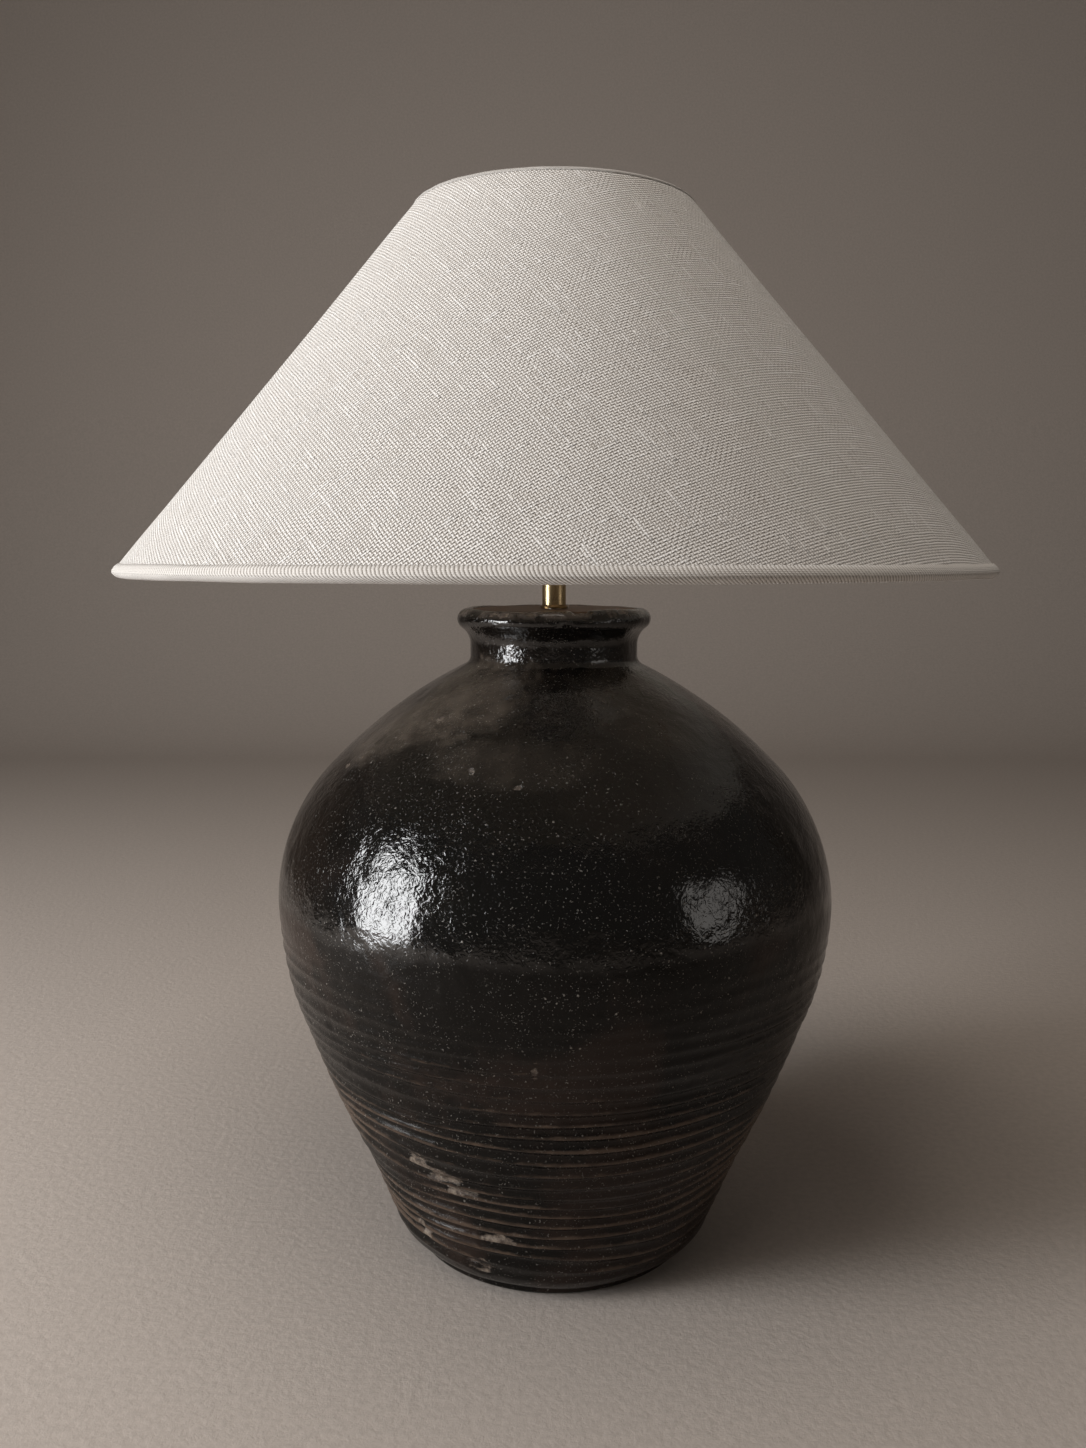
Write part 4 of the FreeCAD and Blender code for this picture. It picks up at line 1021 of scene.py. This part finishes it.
@dataclass
class Shade:
    """The linen cone, its liner, rings, spider and rolled hems."""

    bottom_radius: float = 280.0
    top_radius: float = 89.7
    base: float = 462.3
    top: float = 692.3
    cloth: float = 0.6
    segments: int = 240
    rows: int = 60
    slack: Lumps = Lumps(3, 5, 240.0, height=0.22)
    tight_base: float = 25.0
    tight_top: float = 20.0
    proud: float = 0.02
    glue: float = 0.15
    hem_back: float = -5.05
    fold: Lumps = Lumps(12, 40, 60.0, 50, 0.07)

    @property
    def slant(self) -> float:
        """Length of the cone's side."""
        return math.hypot(self.bottom_radius - self.top_radius, self.top - self.base)

    @property
    def lean(self) -> float:
        """Sine of the angle between the side and the axis."""
        return (self.bottom_radius - self.top_radius) / self.slant

    @property
    def rise(self) -> float:
        """Cosine of the angle between the side and the axis."""
        return (self.top - self.base) / self.slant

    def spot(self, along: float, out: float) -> Point:
        """Return radius and height of a point along the side and out from it."""
        return (self.bottom_radius - along * self.lean + out * self.rise,
                self.base + along * self.rise + out * self.lean)

    def cover_relief(self, angle: Array, radius: Array, level: Array) -> tuple[Array, Values]:
        """Let the skin's outer face ride a little proud and hollow."""
        outer = np.zeros((len(level), 1))
        outer[1:self.rows + 2] = 1.0
        ends = smoothstep(level, self.base, self.base + self.tight_base)
        ends = ends * (1 - smoothstep(level, self.top - self.tight_top, self.top))
        return (self.slack.at(angle, level) * ends + self.proud) * outer, {}

    def cover(self) -> Object:
        """Make the linen skin, very slightly uneven."""
        path = Profile(*self.spot(0.0, -self.cloth), self.slant / self.rows)
        for along, out in ((0.0, 0.0), (self.slant, 0.0), (self.slant, -self.cloth),
                           (0.0, -self.cloth)):
            path.line(*self.spot(along, out))
        return turned_piece("linen_skin", path.rows()[:-1], self.segments, self.cover_relief)

    def hem_relief(self, angle: Array, radius: Array, level: Array) -> tuple[Array, Values]:
        """Make the fold a little uneven, as it is by hand."""
        return self.fold.at(angle, level), {}

    def hem(self, name: str, along: float, tall: float, inner_tall: float,
            slub_and_highlight: float) -> Object:
        """Make a rolled binding round one edge; corners are along the side and out from it.

        Args:
            name: the piece's name.
            along: where the edge is, along the side.
            tall: how far the binding reaches from the edge on the outside.
            inner_tall: how far it reaches on the inside.
            slub_and_highlight: the binding's thickness.

        Returns:
            The binding.
        """
        face, back = self.glue, self.hem_back
        corners = [(tall, -0.1), (tall, face + slub_and_highlight * 0.6), (tall * 0.55, face + slub_and_highlight * 1.3),
                   (0.6, face + slub_and_highlight), (-0.75, 0.0), (-1.0, -1.6), (-1.0, -3.4),
                   (-0.5, back), (inner_tall * 0.6, back - slub_and_highlight), (inner_tall, back - 0.4),
                   (inner_tall, back), (0.2, back), (0.2, face), (tall * 0.6, face)]
        # From the upper edge the binding runs down the side, so its corners turn the other way.
        if along > 0:
            rows = [self.spot(along - way, out) for way, out in corners]
        else:
            rows = [self.spot(way, out) for way, out in reversed(corners)]
        return turned_piece(name, np.array(rows), self.segments * 2, self.hem_relief)

    def declare_sheet(self) -> None:
        """Work out the linen's flat size, a ring sector that spans more than half a circle; the sizes
        are left unused.
        """
        outer, inner = self.bottom_radius / self.lean, self.top_radius / self.lean
        sweep = 2 * math.pi * self.lean
        area = sweep / 2 * (outer ** 2 - inner ** 2)
        width = 2 * outer
        length = outer - outer * math.cos(sweep / 2)
        width * MM
        length * MM
        area * MM * MM

    def build(self) -> None:
        """Make the skin and hems and finish the frame under them."""
        skin = self.cover()
        place(skin, Linen(self.lean), "shade", "shade_cover", "linen")
        low = self.hem("base_binding", 0.0, 6.0, 6.0, 0.8)
        place(low, HemLinen(), "shade", "shade_base_hem", "linen")
        high = self.hem("top_binding", self.slant, 2.4, 1.3, 0.35)
        place(high, HemLinen(rib=1.8), "shade", "shade_top_hem", "linen")
        self.declare_sheet()
        dress("shade_liner", STYRENE)
        wire = WHITE_WIRE.material()
        for node in ("shade_base_ring", "shade_top_ring", "shade_spider"):
            dress(node, wire)


# ------------------------ the studio

@dataclass(frozen=True)
class SoftBox:
    """A rectangular studio light, with its lengths in metres."""

    name: str
    azimuth: float
    distance: float
    height: float
    aim: float
    size: tuple[float, float]
    power: float
    colour: Colour

    def hang(self) -> None:
        """Put the light up, turned to the lamp; azimuth 0 is the viewer's side, + to the right."""
        data = bpy.data.lights.new(self.name, "AREA")
        data.shape = "RECTANGLE"
        data.size, data.size_y = self.size
        data.energy = self.power
        data.color = self.colour
        lamp = bpy.data.objects.new(self.name, data)
        bpy.context.scene.collection.objects.link(lamp)
        turn = math.radians(self.azimuth)
        lamp.location = (math.sin(turn) * self.distance, -math.cos(turn) * self.distance,
                         self.height)
        drop = math.atan2(self.height - self.aim, self.distance)
        lamp.rotation_euler = (math.pi / 2 - drop, 0.0, turn)


@dataclass
class Studio:
    """The pale floor and backdrop, the soft lights and the camera.

    The camera's focal length is in pixels of the photograph and its place in millimetres. The floor
    is in metres.
    """

    focal: float = 1212.6
    sensor: float = 36.0
    back: float = 820.8
    height: float = 470.9
    pitch: float = 0.1366
    yaw: float = 0.0091
    floor_reach: float = 9.0
    floor_front: float = 8.0
    floor_back: float = 2.0
    bend: float = 0.9
    bend_points: int = 14
    wall_top: float = 3.6
    floor_tone: Colour = (0.51, 0.450, 0.405)
    floor_mottle: float = 0.88
    floor_relief: float = 0.6
    air: Colour = (1.0, 0.90, 0.80)
    air_strength: float = 0.08
    lights: tuple[SoftBox, ...] = (
        SoftBox("window", -67.0, 1.90, 0.70, 0.42, (0.68, 1.25), 43.0, (0.98, 0.99, 1.0)),
        SoftBox("fill", 62.0, 1.9, 0.55, 0.35, (0.6, 0.5), 1.2, (1.0, 0.95, 0.90)),
        SoftBox("overhead", -25.0, 0.60, 2.0, 0.45, (1.1, 1.1), 14.0, (1.0, 0.92, 0.84)))

    def paper(self) -> Material:
        """Build the floor's matt, faintly mottled paper."""
        s = Shader("studio_paper")
        fine = s.noise(s.place(), 170.0, 5.0, 0.7)
        colour = s.mix(s.step(fine, 0.3, 0.7), self.floor_tone,
                       tuple(tone * self.floor_mottle for tone in self.floor_tone))
        return s.finish({"Base Color": colour, "Roughness": 0.9, "Specular IOR Level": 0.2,
                         "Normal": s.bump(fine, self.floor_relief)})

    def floor(self) -> None:
        """Lay the floor and curve it up behind the lamp."""
        profile = [(-self.floor_front, 0.0)]
        for turn in np.linspace(0, math.pi / 2, self.bend_points):
            profile.append((self.floor_back + self.bend * math.sin(turn),
                            self.bend - self.bend * math.cos(turn)))
        profile.append((self.floor_back + self.bend, self.wall_top))
        points, faces = [], []
        for y, z in profile:
            points += [(-self.floor_reach, y, z), (self.floor_reach, y, z)]
        for k in range(len(profile) - 1):
            faces.append((2 * k, 2 * k + 1, 2 * k + 3, 2 * k + 2))
        mesh = bpy.data.meshes.new("studio_floor")
        mesh.from_pydata(points, [], faces)
        mesh.shade_smooth()
        mesh.materials.append(self.paper())
        floor = bpy.data.objects.new("studio_floor", mesh)
        bpy.context.scene.collection.objects.link(floor)

    def world(self) -> None:
        """Fill the room with an even pale light."""
        world = bpy.data.worlds.new("studio_air")
        world.use_nodes = True
        sky = world.node_tree.nodes["Background"]
        sky.inputs["Color"].default_value = (*self.air, 1.0)
        sky.inputs["Strength"].default_value = self.air_strength
        bpy.context.scene.world = world

    def camera(self) -> None:
        """Stand the camera where the photograph was taken from."""
        data = bpy.data.cameras.new("camera")
        data.sensor_width = self.sensor
        data.lens = self.sensor * self.focal / max(PHOTO_WIDTH, PHOTO_HEIGHT)
        eye = bpy.data.objects.new("camera", data)
        bpy.context.scene.collection.objects.link(eye)
        eye.location = (0.0, -self.back * MM, self.height * MM)
        eye.rotation_euler = (math.pi / 2 - self.pitch, 0.0, self.yaw)
        bpy.context.scene.camera = eye

    def build(self) -> None:
        """Set up the studio."""
        self.camera()
        self.floor()
        self.world()
        for light in self.lights:
            light.hang()
        bpy.context.scene.view_settings.view_transform = "Standard"


def main() -> None:
    """Build the studio and dress the lamp."""
    logging.basicConfig(level=logging.INFO, format="%(message)s")
    Studio().build()
    Jar().build(JarGlaze())
    Cap().build()
    Fittings().build()
    Shade().build()


if __name__ == "__main__":
    main()
